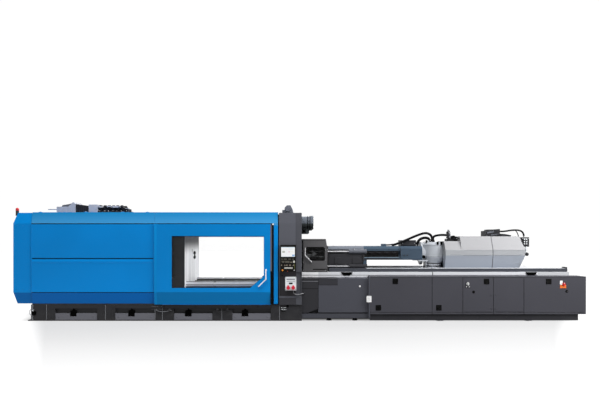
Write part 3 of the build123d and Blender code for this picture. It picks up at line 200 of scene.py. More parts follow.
floor_mesh = bpy.data.meshes.new("floor")
floor_mesh.from_pydata([(-90, -70, 0), (90, -70, 0), (90, 90, 0), (-90, 90, 0)], [], [(0, 1, 2, 3)])
floor = bpy.data.objects.new("floor", floor_mesh)
floor_grey = (0.12, 0.12, 0.12)
floor_material, floor_shader, floor_place = blank("floor_sheet", floor_grey, 0.9)
floor_shader.inputs["Emission Color"].default_value = (1.0, 1.0, 1.0, 1.0)
floor_shader.inputs["Specular IOR Level"].default_value = 0.0
floor_shader.inputs["Emission Strength"].default_value = 1.0
noise(floor_place, 0.4).blend(tint(floor_grey, 0.95), tint(floor_grey, 1.05)).feed(floor_shader, "Base Color")
# Painted shadow: the floor's glow darkens to near black under the machine and to a soft grey beside it.
along, across = floor_place.axis("X").size(), floor_place.axis("Y").size()
shadow_under_machine = along.ramp(6.1, 6.95).most(across.ramp(0.9, 1.5))
shadow_beside_machine = (along + (across - 1.44) * 0.49).ramp(6.1, 6.7).most(across.ramp(1.7, 11.0))
glow_with_painted_shadow = shadow_beside_machine.blend(tint((0.61, 0.61, 0.615)), tint((1.0, 1.0, 1.0)))
shadow_under_machine.blend(tint((0.03, 0.03, 0.03)), glow_with_painted_shadow).feed(floor_shader, "Emission Color")
floor_mesh.materials.append(floor_material)

surround_form = bmesh.new()
bmesh.ops.create_icosphere(surround_form, subdivisions=4, radius=88.0)
surround_mesh = bpy.data.meshes.new("surround")
surround_form.to_mesh(surround_mesh)
surround_form.free()
surround = bpy.data.objects.new("surround", surround_mesh)
surround_material, surround_shader, surround_place = blank("surround_white", (0.0, 0.0, 0.0), 1.0)
surround_shader.inputs["Emission Color"].default_value = (1.0, 1.0, 1.0, 1.0)
surround_shader.inputs["Emission Strength"].default_value = 1.0
surround_mesh.materials.append(surround_material)
for sheet in (floor, surround):
    bpy.context.scene.collection.objects.link(sheet)
    sheet.visible_diffuse = False
surround.visible_glossy = False
surround.visible_shadow = False


# Clamp base: a box welded from plate in dark satin paint, with pressed ribs and a light strip
# on each post. Grey ledges lie in its recesses beside black cast levelling wedges.
BASE_FACE = 1.37
RECESS_FACE = 1.3
SIDES = ((-1, "front"), (1, "rear"))
UP, FRONT, LEFT, RIGHT = (0, 0, 1), (0, -1, 0), (-1, 0, 0), (1, 0, 0)


def within(place, **limits):
    """1 inside limits given on some of the machine's axes and 0 outside them."""
    mask = 1.0
    for axis, (low, high) in limits.items():
        along = place.axis(axis.upper())
        mask = (along > low) * (along < high) * mask
    return mask


def painted(
    name, colour, roughness=0.38, dust=0.35, peel=0.06, edge=0.12, coat=0.0, shine=0.18, painted_floor_light=0.0, marks=()
):
    """Sprayed sheet metal: faint mottling, orange peel, worn bright edges and dust low down.

    Each mark is a box in the machine's frame and the colour painted inside it, some of them painted shade or
    painted highlight. The floor light share paints the colour paler toward the floor, a painted light where
    the pale floor would throw light up.
    """
    material, shader, place = blank(name, colour, roughness)
    shader.inputs["Coat Weight"].default_value = coat
    shader.inputs["Coat Roughness"].default_value = 0.22
    shader.inputs["Specular IOR Level"].default_value = shine
    mottle = noise(place, 0.9, 4.0)
    tone = mottle.ramp(0.25, 0.75).blend(tint(colour, 0.96), tint(colour, 1.04))
    height = place.axis("Z")
    # Painted light: the paint pales toward the floor as if lit from the pale floor below.
    tone = ((1.0 - height.ramp(0.2, 2.0)) * painted_floor_light).blend(tone, tint(colour, 1.5))
    for box, shade in marks:
        tone = within(place, **box).blend(tone, tint(shade))
    rounded = place.node("ShaderNodeBevel", {"samples": 4}, {"Radius": 0.006})
    flat = place.node("ShaderNodeNewGeometry", output="Normal")
    facing = place.node("ShaderNodeVectorMath", {"operation": "DOT_PRODUCT"}, {0: rounded, 1: flat}, "Value")
    scuffs = noise(place, 11.0, 5.0)
    worn = (1.0 - facing).ramp(0.004, 0.12) * scuffs.ramp(0.35, 0.75) * edge
    tone = worn.blend(tone, tint((0.55, 0.56, 0.58)))
    dusty = (1.0 - height.ramp(0.0, 0.5)) * noise(place, 3.0, 6.0, (1.0, 1.0, 3.0)).ramp(0.3, 0.8) * dust
    tone = dusty.blend(tone, tint((0.24, 0.235, 0.22)))
    tone.feed(shader, "Base Color")
    gloss = (noise(place, 2.1, 5.0) - 0.5) * 0.16 + roughness
    (gloss + dusty * 0.3).feed(shader, "Roughness")
    skin = place.node(
        "ShaderNodeBump",
        {},
        {"Strength": peel, "Distance": 0.002, "Height": noise(place, 160.0, 2.0), "Normal": rounded},
    )
    skin.feed(shader, "Normal")
    return material


def machined(name, colour, roughness=0.24, grain=(1.0, 60.0, 60.0), metallic=1.0, scratch=0.08, underside_shade=0.0):
    """Bare worked steel: fine tool marks along one direction, a haze and a painted shade on the underside."""
    material, shader, place = blank(name, colour, roughness, metallic)
    marks = noise(place, 6.0, 6.0, grain)
    haze = noise(place, 2.4, 4.0)
    tone = (marks * 0.6 + haze * 0.4).ramp(0.3, 0.7).blend(tint(colour, 0.82), tint(colour, 1.08))
    # Painted shade: the colour darkens where the surface faces down.
    upward = place.node("ShaderNodeNewGeometry", output="Normal").axis("Z")
    ((1.0 - upward.ramp(-0.45, 0.25)) * underside_shade).blend(tone, tint((0.03, 0.03, 0.028))).feed(shader, "Base Color")
    (marks * 0.22 + haze * 0.12 + (roughness - 0.17)).feed(shader, "Roughness")
    rounded = place.node("ShaderNodeBevel", {"samples": 4}, {"Radius": 0.004})
    place.node(
        "ShaderNodeBump",
        {},
        {"Strength": scratch, "Distance": 0.001, "Height": marks, "Normal": rounded},
    ).feed(shader, "Normal")
    return material


def dress(node_names, material):
    """CAD nodes that keep their mesh and take a finish."""
    for node_name in node_names:
        mesh = nodes[node_name].data
        mesh.materials.clear()
        mesh.materials.append(material)


def flank(side, near, far):
    """Limits on Y of a piece on the front, side -1, or on the rear, side 1."""
    return sorted((side * near, side * far))


class Form:
    """A mesh being built up in the machine's frame from bars, prisms, turned and bent shapes."""

    def __init__(self):
        self.mesh = bmesh.new()

    def prism(self, outline, start, end, axis="Y", finish=0):
        """An outline pushed along an axis; its points use the two other axes in X, Y, Z order."""
        rings = []
        for along in (start, end):
            ring = []
            for place in outline:
                place = list(place)
                place.insert("XYZ".index(axis), along)
                ring.append(self.mesh.verts.new(place))
            rings.append(ring)
        faces = [self.mesh.faces.new(rings[0]), self.mesh.faces.new(rings[1][::-1])]
        count = len(outline)
        for index in range(count):
            after = (index + 1) % count
            faces.append(
                self.mesh.faces.new((rings[0][index], rings[1][index], rings[1][after], rings[0][after]))
            )
        for face in faces:
            face.material_index = finish
        bmesh.ops.recalc_face_normals(self.mesh, faces=faces)
        return self

    def bar(self, x, y, z, finish=0, cut=0.0):
        """A cuboid between limits on each axis, its front corners cut by an amount."""
        if cut:
            outline = [
                (x[0] + cut, z[0]), (x[1] - cut, z[0]), (x[1], z[0] + cut), (x[1], z[1] - cut),
                (x[1] - cut, z[1]), (x[0] + cut, z[1]), (x[0], z[1] - cut), (x[0], z[0] + cut),
            ]
        else:
            outline = [(x[0], z[0]), (x[1], z[0]), (x[1], z[1]), (x[0], z[1])]
        return self.prism(outline, y[0], y[1], "Y", finish)

    def turned(self, place, axis, profile, steps=28, finish=0, bore=0.0):
        """A profile of (reach, radius) pairs turned about an axis, round a bore if it has one."""
        if bore:
            profile = [(profile[0][0], bore)] + profile + [(profile[-1][0], bore)]
        along = Vector(axis).normalized()
        across = along.orthogonal().normalized()
        turn = along.cross(across)
        rings = []
        for reach, radius in profile:
            ring = []
            for step in range(steps):
                angle = 2 * math.pi * step / steps
                offset = across * math.cos(angle) * radius + turn * math.sin(angle) * radius
                ring.append(self.mesh.verts.new(Vector(place) + along * reach + offset))
            rings.append(ring)
        faces = []
        joined = list(zip(rings[:-1], rings[1:]))
        if bore:
            joined.append((rings[-1], rings[0]))
        else:
            faces = [self.mesh.faces.new(rings[0][::-1]), self.mesh.faces.new(rings[-1])]
        for lower, upper in joined:
            for step in range(steps):
                after = (step + 1) % steps
                faces.append(self.mesh.faces.new((lower[step], lower[after], upper[after], upper[step])))
        for face in faces:
            face.material_index = finish
            face.smooth = steps > 8
        bmesh.ops.recalc_face_normals(self.mesh, faces=faces)
        return self

    def bolt(self, place, axis, size, finish=0):
        """A hexagon head on its washer, pointing along an axis."""
        washer = [(-size * 0.2, size * 1.15), (size * 0.22, size * 1.1)]
        head = [(size * 0.2, size * 0.92), (size * 0.75, size * 0.92), (size * 0.86, size * 0.72)]
        self.turned(place, axis, washer, 20, finish)
        self.turned(place, axis, head, 6, finish)
        return self

    def bolts(self, places, axis, size, finish=0):
        """The same bolt at each of several places."""
        for place in places:
            self.bolt(place, axis, size, finish)
        return self

    def rim(self, outline, width, y, finish=0):
        """Strips along an outline in X and Z, laid inside it, or outside for a width below 0."""
        corners = [Vector((x, 0, z)) for x, z in outline]
        middle = sum(corners, Vector()) / len(corners)
        for first, second in zip(corners, corners[1:] + corners[:1]):
            along = (second - first).normalized()
            inward = middle - first
            inward = (inward - along * inward.dot(along)).normalized() * width
            strip = (first, second, second + inward, first + inward)
            self.prism([(corner.x, corner.z) for corner in strip], y[0], y[1], "Y", finish)
        return self

    def tube(self, points, radius, steps=12, finish=0):
        """A bent round tube through smoothed points."""
        route = [Vector(point) for point in points]
        for _ in range(3):
            smooth = [route[0]]
            for first, second in zip(route[:-1], route[1:]):
                smooth += [first.lerp(second, 0.25), first.lerp(second, 0.75)]
            route = smooth + [route[-1]]
        rings = []
        across = (route[1] - route[0]).orthogonal().normalized()
        for index, place in enumerate(route):
            along = (route[min(index + 1, len(route) - 1)] - route[max(index - 1, 0)]).normalized()
            across = (across - along * across.dot(along)).normalized()
            turn = along.cross(across)
            ring = []
            for step in range(steps):
                angle = 2 * math.pi * step / steps
                offset = across * math.cos(angle) + turn * math.sin(angle)
                ring.append(self.mesh.verts.new(place + offset * radius))
            rings.append(ring)
        faces = [self.mesh.faces.new(rings[0][::-1]), self.mesh.faces.new(rings[-1])]
        for lower, upper in zip(rings[:-1], rings[1:]):
            for step in range(steps):
                after = (step + 1) % steps
                faces.append(self.mesh.faces.new((lower[step], lower[after], upper[after], upper[step])))
        for face in faces:
            face.material_index = finish
            face.smooth = True
        bmesh.ops.recalc_face_normals(self.mesh, faces=faces)
        return self

    def made(self, name, body, finishes, slot, bevel=0.003):
        """Ends the mesh as a named piece with its finishes, rounded edges and the body it rides on."""
        mesh = bpy.data.meshes.new(name)
        self.mesh.to_mesh(mesh)
        self.mesh.free()
        for material in finishes:
            mesh.materials.append(material)
        piece = bpy.data.objects.new(name, mesh)
        bpy.context.scene.collection.objects.link(piece)
        if bevel:
            rounding = piece.modifiers.new("rounding", "BEVEL")
            rounding.width = bevel
            rounding.segments = 2
            rounding.limit_method = "ANGLE"
            rounding.angle_limit = math.radians(40)
        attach(piece, body)
        return piece


base_paint = painted("base_paint", (0.023, 0.023, 0.026), 0.45, dust=0.06, shine=0.2)
post_paint = painted(
    "post_paint", (0.023, 0.023, 0.026), 0.45, dust=0.06, shine=0.2,
    marks=(({"y": (-1.31, -1.29)}, (0.045, 0.045, 0.049)), ({"y": (1.29, 1.31)}, (0.045, 0.045, 0.049))),
)
ledge_paint = painted("ledge_paint", (0.14, 0.142, 0.165), 0.45, dust=0.1)
zinc = painted("zinc", (0.2, 0.205, 0.225), 0.4, dust=0.1, peel=0.02)
cast_black = painted("cast_black", (0.0015, 0.0015, 0.0015), 0.7, dust=0.0, peel=0.2, edge=0.0, shine=0.03)
bare_steel = machined("bare_steel", (0.5, 0.5, 0.52), 0.32)
dress(["clamp_base"], post_paint)
dress(["base_ledges"], ledge_paint)
posts = ((-6.478, -5.893, -6.101), (-4.883, -4.445, -4.682), (-3.492, -3.025, -3.307),
         (-2.1, -1.619, -1.874), (-0.694, 0.055, -0.482))
for side, where in SIDES:
    ribs = Form()
    face = flank(side, BASE_FACE - 0.001, BASE_FACE + 0.003)
    for left, right, strip in posts:
        ribs.bar((strip - 0.006, strip + 0.006), face, (0.024, 0.386), 1)
        for x in (left + 0.024, left + 0.062, strip - 0.05, strip + 0.05, right - 0.07, right - 0.03):
            ribs.bar((x - 0.007, x + 0.007), face, (0.024, 0.386))
        ribs.bar((left + 0.004, right - 0.004), face, (0.0, 0.018))
    ribs.bar((-6.474, -6.41), face, (0.02, 0.386), 1)
    ribs.bar((-3.49, -3.478), face, (0.024, 0.27), 1)
    ribs.made("base_ribs_" + where, "machine", [base_paint, zinc], "base_paint", 0.0015)
    wedges = Form()
    for x in (-5.463, -4.059, -2.687, -1.317):
        reach = flank(side, RECESS_FACE, RECESS_FACE + 0.05)
        wedges.bar((x - 0.076, x + 0.076), reach, (0.104, 0.162), 0, 0.006)
        slide = flank(side, RECESS_FACE, RECESS_FACE + 0.042)
        wedges.bar((x - 0.066, x + 0.066), slide, (0.162, 0.205), 0, 0.004)
        wedges.bar((x - 0.074, x + 0.074), reach, (0.205, 0.246), 0, 0.006)
        spindle = [(0.0, 0.026), (0.01, 0.026), (0.012, 0.014), (0.053, 0.014)]
        wedges.turned((x, side * (RECESS_FACE + 0.025), 0.246), UP, spindle, 12)
        wedges.bolt((x, side * (RECESS_FACE + 0.042), 0.184), (0, side, 0), 0.014)
    wedges.made("levelling_wedges_" + where, "machine", [cast_black], "base_paint", 0.002)
    ledge_bolts = Form()
    for left, right in ((-5.893, -4.883), (-4.445, -3.492), (-3.025, -2.1), (-1.619, -0.694)):
        for share in (0.08, 0.92):
            x = left + (right - left) * share
            ledge_bolts.bolt((x, side * 1.36, 0.1), (0, side, 0), 0.012)
    ledge_bolts.made("ledge_bolts_" + where, "machine", [ledge_paint], "ledge_grey", 0.001)


# Services on the base: a bent drain pipe with its tap at the left end, and four pale couplings in
# two rows by the column, screwed to a plate and joined by a small pipe.
pale_fitting = painted("pale_fitting", (0.6, 0.62, 0.64), 0.34, dust=0.1, peel=0.02)
services = Form()
drain = [
    (-6.44, -1.372, 0.3), (-6.46, -1.378, 0.29), (-6.505, -1.384, 0.25), (-6.51, -1.386, 0.17),
    (-6.46, -1.386, 0.13), (-6.4, -1.38, 0.15), (-6.385, -1.374, 0.19), (-6.385, -1.368, 0.19),
]
services.tube(drain, 0.006)
services.bar((-6.44, -6.35), (-1.392, -1.37), (0.14, 0.235), 1, 0.012)
tap = [(0.0, 0.018), (0.02, 0.018), (0.026, 0.012), (0.034, 0.011)]
services.turned((-6.425, -BASE_FACE, 0.25), FRONT, tap, 20, 2)
for x in (-0.436, -0.402, -0.368, -0.334):
    coupling = [(0.0, 0.013), (0.012, 0.013), (0.014, 0.009), (0.03, 0.009)]
    services.turned((x, -BASE_FACE, 0.272), FRONT, coupling, 6, 2)
    services.turned((x, -BASE_FACE, 0.318), FRONT, [(0.0, 0.01), (0.01, 0.01), (0.022, 0.006)], 14, 2)
link = [
    (-0.436, -1.396, 0.272), (-0.44, -1.402, 0.258), (-0.43, -1.4, 0.235), (-0.39, -1.398, 0.228),
    (-0.34, -1.4, 0.232), (-0.332, -1.402, 0.256), (-0.334, -1.396, 0.272),
]
services.tube(link, 0.006, 10, 1)
services.bar((-0.45, -0.315), (-1.376, -1.369), (0.288, 0.3), 1)
services.bar((-0.312, -0.262), (-1.392, -1.369), (0.33, 0.385), 1, 0.008)
services.made("base_services", "machine", [zinc, cast_black, pale_fitting], "machined_steel", 0.001)

# Roller gear under the gates: pressed brackets bolted to the base on both sides of each roller,
# with bent steel pipes clipped beside them.
ROLLER_HEIGHT = 0.2717
for side, where in SIDES:
    gear = Form()
    for middle, pipe in ((-3.2585, 0), (-1.8595, 1)):
        for x in (middle - 0.12, middle + 0.12):
            cap = [(0.0, 0.022), (0.004, 0.022), (0.006, 0.012), (0.014, 0.011)]
            gear.turned((x, side * 1.408, ROLLER_HEIGHT), (0, side, 0), cap, 16, 1)
            if pipe == 0:
                clip = flank(side, 1.371, 1.376)
                gear.bar((x - 0.19, x - 0.03), clip, (0.347, 0.352))
                gear.bar((x - 0.19, x - 0.05), clip, (0.277, 0.281))
            gear.bar((x - 0.034, x + 0.034), flank(side, 1.371, 1.3735), (0.2, 0.298), 1)
        gear.tube(
            [
                (middle - 0.17, side * 1.373, 0.27), (middle - 0.2, side * 1.388, 0.262),
                (middle - 0.12, side * 1.412, 0.232), (middle + 0.02, side * 1.414, 0.226),
                (middle + 0.1, side * 1.404, 0.24), (middle + 0.19, side * 1.373, 0.262),
            ],
            0.006, 10, pipe,
        )
    gear.made("gate_roller_gear_" + where, "machine", [zinc, base_paint], "machined_steel", 0.0008)


# Platens: cast iron in dark paint, milled bright on the faces that carry the mould. The milling leaves
# upright bands, a painted shadow darkens the top of the milled faces, and the cast skin shows on the flanks
# and behind.


def spots(*axes):
    """Every meeting of the places given on X, Y and Z, each a number or several."""
    return product(*(axis if isinstance(axis, (tuple, list)) else (axis,) for axis in axes))


AXIS_HEIGHT = 1.6
platen_colour = (0.012, 0.0125, 0.014)
cast_platen, cast_shader, cast_place = blank("cast_platen", platen_colour, 0.55)
on_face = within(cast_place, x=(-2.8405, -0.5995))
in_seat = within(cast_place, x=(-2.885, -0.555), y=(-0.13, 0.13), z=(1.47, 1.73))
on_face = on_face.most(in_seat)
bands = noise(cast_place, 3.0, 4.0, (1.0, 3.5, 0.2))
height = cast_place.axis("Z")
milled = bands.ramp(0.3, 0.7).blend(tint((0.7, 0.7, 0.71)), tint((1.0, 1.0, 1.0)))
# Painted shadow across the top of the milled faces.
shadow = bands.ramp(0.44, 0.6).blend(tint((0.006, 0.006, 0.006)), tint((0.03, 0.03, 0.031)))
milled = height.ramp(1.56, 1.93).blend(milled, shadow)
skin = noise(cast_place, 5.0, 5.0).ramp(0.2, 0.8).blend(tint(platen_colour, 0.8), tint(platen_colour, 1.3))
skin = within(cast_place, z=(2.59, 2.9)).blend(skin, tint((0.12, 0.128, 0.155)))
on_face.blend(skin, milled).feed(cast_shader, "Base Color")
(on_face * 0.1).feed(cast_shader, "Metallic")
cast_shader.inputs["Specular IOR Level"].default_value = 0.15
(noise(cast_place, 9.0) * 0.1 + 0.5 - on_face * 0.14).feed(cast_shader, "Roughness")
rounded = cast_place.node("ShaderNodeBevel", {"samples": 4}, {"Radius": 0.012})
grit = noise(cast_place, 70.0, 4.0)
cast_place.node(
    "ShaderNodeBump", {}, {"Strength": 0.25, "Distance": 0.003, "Height": grit, "Normal": rounded}
).feed(cast_shader, "Normal")
dress(["fixed_platen", "movable_platen"], cast_platen)
for name, face, inward, body in (("fixed", -0.6, 1, "machine"), ("movable", -2.84, -1, "moving_platen")):
    fixings = Form()
    for y, z in product((-1, 1), (-1, 1)):
        for wide, tall in ((0.56, 0.56), (0.35, 0.81)):
            place = (face - inward * 0.0004, y * wide, AXIS_HEIGHT + z * tall)
            fixings.turned(place, (inward, 0, 0), [(0.0, 0.02), (0.001, 0.014), (0.03, 0.013)], 20)
    if name == "movable":
        for z in (AXIS_HEIGHT, 1.49):
            high, low = z + 0.052, z - 0.052
            pad = [(0.14, z), (0.24, high), (0.44, high), (0.54, z), (0.44, low), (0.24, low)]
            fixings.prism(pad, face - 0.002, face + 0.002, "X", 1)
    back, wide = (0.59, 0.5) if name == "fixed" else (0.7, 0.3)
    heights = (AXIS_HEIGHT - 0.16, AXIS_HEIGHT + 0.16)
    fixings.bolts(spots(face + inward * back, (-wide, wide), heights), (inward, 0, 0), 0.03)
    fixings.made(name + "_platen_fixings", body, [bare_steel, cast_black], "machined_steel", 0.001)

# Tie bars and rods: ground and hard-chromed steel with fine turning marks, painted shade on their undersides
# and painted reflections in dark bands across the tie bars.
chrome_bar = machined("chrome_bar", (0.86, 0.86, 0.9), 0.36, metallic=0.6, scratch=0.004, underside_shade=0.9)
dress(["carriage_rods", "ejector_rod"], chrome_bar)
rod_dark = machined("rod_dark", (0.05, 0.05, 0.046), 0.5, metallic=0.3, scratch=0.0)
dress(["stroke_rods"], rod_dark)
chrome_colour = (0.84, 0.84, 0.88)
tie_chrome, tie_shader, tie_place = blank("tie_chrome", chrome_colour, 0.36, 0.6)
# Painted shade and painted reflection: the tie bars darken on their undersides, in a thin band across their
# curve and along their very tops; the dark reaches higher on the faces turned inward.
facing = tie_place.node("ShaderNodeNewGeometry", output="Normal")
inner = 1.0 - (facing.axis("Y") * tie_place.axis("Y")).ramp(-0.1, 0.1)
upward = facing.axis("Z")
painted_dark_bands = 1.0 - (upward - inner * 0.9).ramp(-0.3, -0.12)
painted_dark_line = upward.ramp(0.04, 0.1) * (1.0 - upward.ramp(0.26, 0.34)) * 0.75
rim = upward.ramp(0.74, 0.9) * 0.8
painted_dark_bands = painted_dark_bands.most(painted_dark_line).most(rim)
turning = noise(tie_place, 300.0, 2.0, (1.0, 0.2, 0.2))
turning = turning.blend(tint(chrome_colour, 0.96), tint(chrome_colour, 1.02))
painted_dark_bands.blend(turning, tint((0.035, 0.035, 0.03))).feed(tie_shader, "Base Color")
(noise(tie_place, 2.4, 4.0) * 0.1 + 0.3).feed(tie_shader, "Roughness")
dress(["tie_bars"], tie_chrome)

# Lock halves and their actuators: machined rings with bolted grey cylinders that close them
# round the tie bars.
TIE_BARS = tuple(product((-0.79, 0.79), (0.816, 2.384)))
dress(["lock_halves_front", "lock_halves_rear"], bare_steel)
for name, side, body in (("front", -1, "lock_front"), ("rear", 1, "lock_rear")):
    lugs = Form()
    for y, z in TIE_BARS:
        lugs.bolts(spots(-3.7003, y + side * 0.195, (z - 0.1, z + 0.1)), LEFT, 0.014)
    lugs.made("lock_bolts_" + name, body, [bare_steel], "machined_steel", 0.001)


# Clamp cylinders: grey barrels bolted to the fixed platen, each cap held by a ring of bolts and
# fed through a port block with a flanged pipe.


def circle(centre, axis, radius, count, shift=0.0):
    """Places spaced evenly on a circle round an axis through its centre."""
    places = []
    for index in range(count):
        angle = 2 * math.pi * (index + shift) / count
        first, second = radius * math.cos(angle), radius * math.sin(angle)
        offset = [first, second]
        offset.insert("XYZ".index(axis), 0)
        places.append(tuple(part + move for part, move in zip(centre, offset)))
    return places


grey_paint = painted("grey_paint", (0.105, 0.112, 0.132), 0.42, dust=0.08)
dress(["hydraulic_unit"], grey_paint)
# The lower half of the upper cylinders is painted darker than their tops, a painted shade.
cylinder_paint = painted(
    "cylinder_paint", (0.11, 0.125, 0.15), 0.4, dust=0.0,
    marks=(({"z": (2.0, 2.36)}, (0.035, 0.042, 0.045)),),
)
dress(["clamp_cylinders"], cylinder_paint)
caps = Form()
for y, z in TIE_BARS:
    caps.bolts(circle((0.34, y, z), "X", 0.145, 12), RIGHT, 0.013)
    caps.turned((0.34, y, z), RIGHT, [(-0.002, 0.1), (0.004, 0.1), (0.007, 0.092)], 40, 1)
    for x in (0.262, 0.205, 0.03):
        band = [(-0.008, 0.1603), (-0.006, 0.172), (0.006, 0.172), (0.008, 0.1603)]
        caps.turned((x, y, z), RIGHT, band, 48, 1)
    side = -1 if y < 0 else 1
    port_y, port_z = y + side * 0.07, z - 0.21
    flange = [(-0.002, 0.04), (0.018, 0.04), (0.02, 0.028), (0.04, 0.028)]
    caps.turned((0.115, port_y, port_z), (0, side, 0), flange, 28, 1)
    corners = spots((0.079, 0.151), port_y, (port_z - 0.036, port_z + 0.036))
    caps.bolts(corners, (0, side, 0), 0.008, 1)
caps.made("clamp_cylinder_caps", "machine", [bare_steel, cast_black], "machined_steel", 0.001)

# Stroke and ejector cylinders and the hydraulic unit: dark tubes with tie bolts and couplings.
dress(["stroke_cylinders", "ejector_cylinder"], base_paint)
stroke = Form()
for side in (-1, 1):
    y, z = side * 0.44, AXIS_HEIGHT - side * 0.784
    stroke.bolts(circle((-5.29, y, z), "X", 0.058, 4, 0.5), LEFT, 0.011, 1)
    for x in (-5.27, -4.6, -3.9):
        band = [(-0.02, 0.0752), (-0.018, 0.088), (0.018, 0.088), (0.02, 0.0752)]
        stroke.turned((x, y, z), RIGHT, band, 32, bore=0.0745)
stroke.made("stroke_cylinder_trim", "moving_platen", [base_paint, bare_steel], "base_paint", 0.001)
ejector = Form()
ejector.bolts(circle((-4.02, 0, AXIS_HEIGHT), "X", 0.112, 8), LEFT, 0.014, 1)
band = [(-0.03, 0.1403), (-0.028, 0.158), (0.028, 0.158), (0.03, 0.1403)]
ejector.turned((-3.6, 0, AXIS_HEIGHT), RIGHT, band, 40, bore=0.1395)
ejector.made("ejector_trim", "moving_platen", [base_paint, bare_steel], "base_paint", 0.001)
unit = Form()
for y in (-0.48, 0.48):
    for place in circle((-6.24, y, 1.325), "X", 0.214, 30)[:16]:
        unit.turned(place, RIGHT, [(0.0, 0.007), (0.49, 0.007)], 6)
    unit.turned((-6.25, y, 1.325), LEFT, [(0.0, 0.2), (0.012, 0.2), (0.03, 0.17)], 40, 1)
    elbow = [(-0.004, 0.03), (0.05, 0.03), (0.06, 0.022), (0.16, 0.022)]
    unit.turned((-5.45, y, 1.445), UP, elbow, 20, 1)
unit.turned((-6.05, -0.75, 1.1), UP, [(0.0, 0.06), (0.05, 0.06), (0.058, 0.05)], 28, 1)
unit.bar((-5.9, -5.6), (-0.905, -0.9), (0.6, 0.95), 1, 0.01)
for z in (1.54, 1.6):
    unit.tube(
        [
            (-5.405, -0.1, z - 0.06), (-5.36, -0.1, z - 0.04), (-5.34, -0.1, z + 0.1),
            (-5.34, 0.05, z + 0.12), (-5.36, 0.1, z - 0.04), (-5.405, 0.1, z - 0.06),
        ],
        0.015, 12, 2,
    )
unit.made("hydraulic_unit_trim", "machine", [grey_paint, cast_black, bare_steel], "grey_paint", 0.001)


# Housing: folded steel sheet in a bright semi-gloss blue. Painted shadow lines run in the panel's grooves and
# under the roof's edge, its lower bend is painted darker as painted shade, a pressed strip covers each joint
# and the screws sit below the seams.


def moulded(name, colour, roughness=0.45, coat=0.0, shine=0.4):
    """Moulded plastic or rubber: a fine grain and slight fading."""
    material, shader, place = blank(name, colour, roughness)
    shader.inputs["Coat Weight"].default_value = coat
    shader.inputs["Specular IOR Level"].default_value = shine
    noise(place, 7.0, 4.0).ramp(0.25, 0.75).blend(tint(colour, 0.9), tint(colour, 1.1)).feed(
        shader, "Base Color"
    )
    ((noise(place, 30.0, 3.0) - 0.5) * 0.12 + roughness).feed(shader, "Roughness")
    rounded = place.node("ShaderNodeBevel", {"samples": 4}, {"Radius": 0.002})
    place.node(
        "ShaderNodeBump",
        {},
        {"Strength": 0.1, "Distance": 0.0005, "Height": noise(place, 700.0, 2.0), "Normal": rounded},
    ).feed(shader, "Normal")
    return material


blue_colour = (0.0, 0.212, 0.6)
semi_gloss = {"roughness": 0.34, "dust": 0.0, "coat": 0.02, "shine": 0.1}
blue_paint = painted("blue_paint", blue_colour, **semi_gloss)
# The roof frame's band is painted paler in steps toward its lower edge, a painted sheen where the leaning
# band catches the light from above.
painted_sheen_blue = painted(
    "painted_sheen_blue", blue_colour, **semi_gloss,
    marks=[
        (
            {"z": (2.3 + level * 0.04, 2.34 + level * 0.04)},
            (0.045 - level * 0.005, 0.265 - level * 0.009, 0.55 - level * 0.012),
        )
        for level in range(8)
    ],
)
dress(["roof_frame"], painted_sheen_blue)
# The end cap is painted darker below its lower bend, a painted shade, and dark stripes across its end wall
# are painted vent slots whose dark stands for the shade inside them.
cap_blue = painted(
    "cap_blue", blue_colour, **semi_gloss, painted_floor_light=0.4,
    marks=[({"z": (0.0, 0.679)}, (0.0, 0.15, 0.5))] + [
        ({"x": (-6.9, -6.8935), "y": (-0.95, 0.95), "z": (z, z + 0.015)}, (0.0, 0.01, 0.03))
        for z in (0.86, 0.935, 1.01, 1.085, 1.16, 1.235, 1.31)
    ],
)
dress(["end_cap"], cap_blue)
# Painted shade on the lower bend and painted shadow lines in the grooves and under the roof's edge.
blue_grooved = painted(
    "blue_grooved", blue_colour, **semi_gloss, painted_floor_light=0.4,
    marks=(
        ({"z": (0.3, 0.679)}, (0.0, 0.145, 0.52)),
        ({"z": (0.679, 0.6965)}, (0.0, 0.03, 0.075)),
        ({"z": (2.33, 2.36)}, (0.0, 0.006, 0.012)),
        ({"z": (1.488, 1.5175)}, (0.0, 0.06, 0.15)),
    ),
)
dress(["front_panel", "rear_panel"], blue_grooved)
seal_black = moulded("seal_black", (0.003, 0.003, 0.003), 0.6, shine=0.08)
for side, where in SIDES:
    strips = Form()
    out = flank(side, 1.3995, 1.4022)
    strips.bar((-6.462, -6.44), out, (0.72, 2.33))
    strips.bar((-3.52, -3.5), out, (0.72, 2.33))
    strips.bar((-6.42, -3.54), out, (1.395, 1.409))
    strips.bolts(spots((-6.8, -6.66, -6.52), side * 1.388, (0.76, 2.29)), (0, side, 0), 0.009)
    strips.bolts([(-6.3 + index * 0.44, side * 1.394, 0.735) for index in range(7)], (0, side, 0), 0.008)
    strips.made("housing_strips_" + where, "machine", [blue_paint], "blue_paint", 0.001)

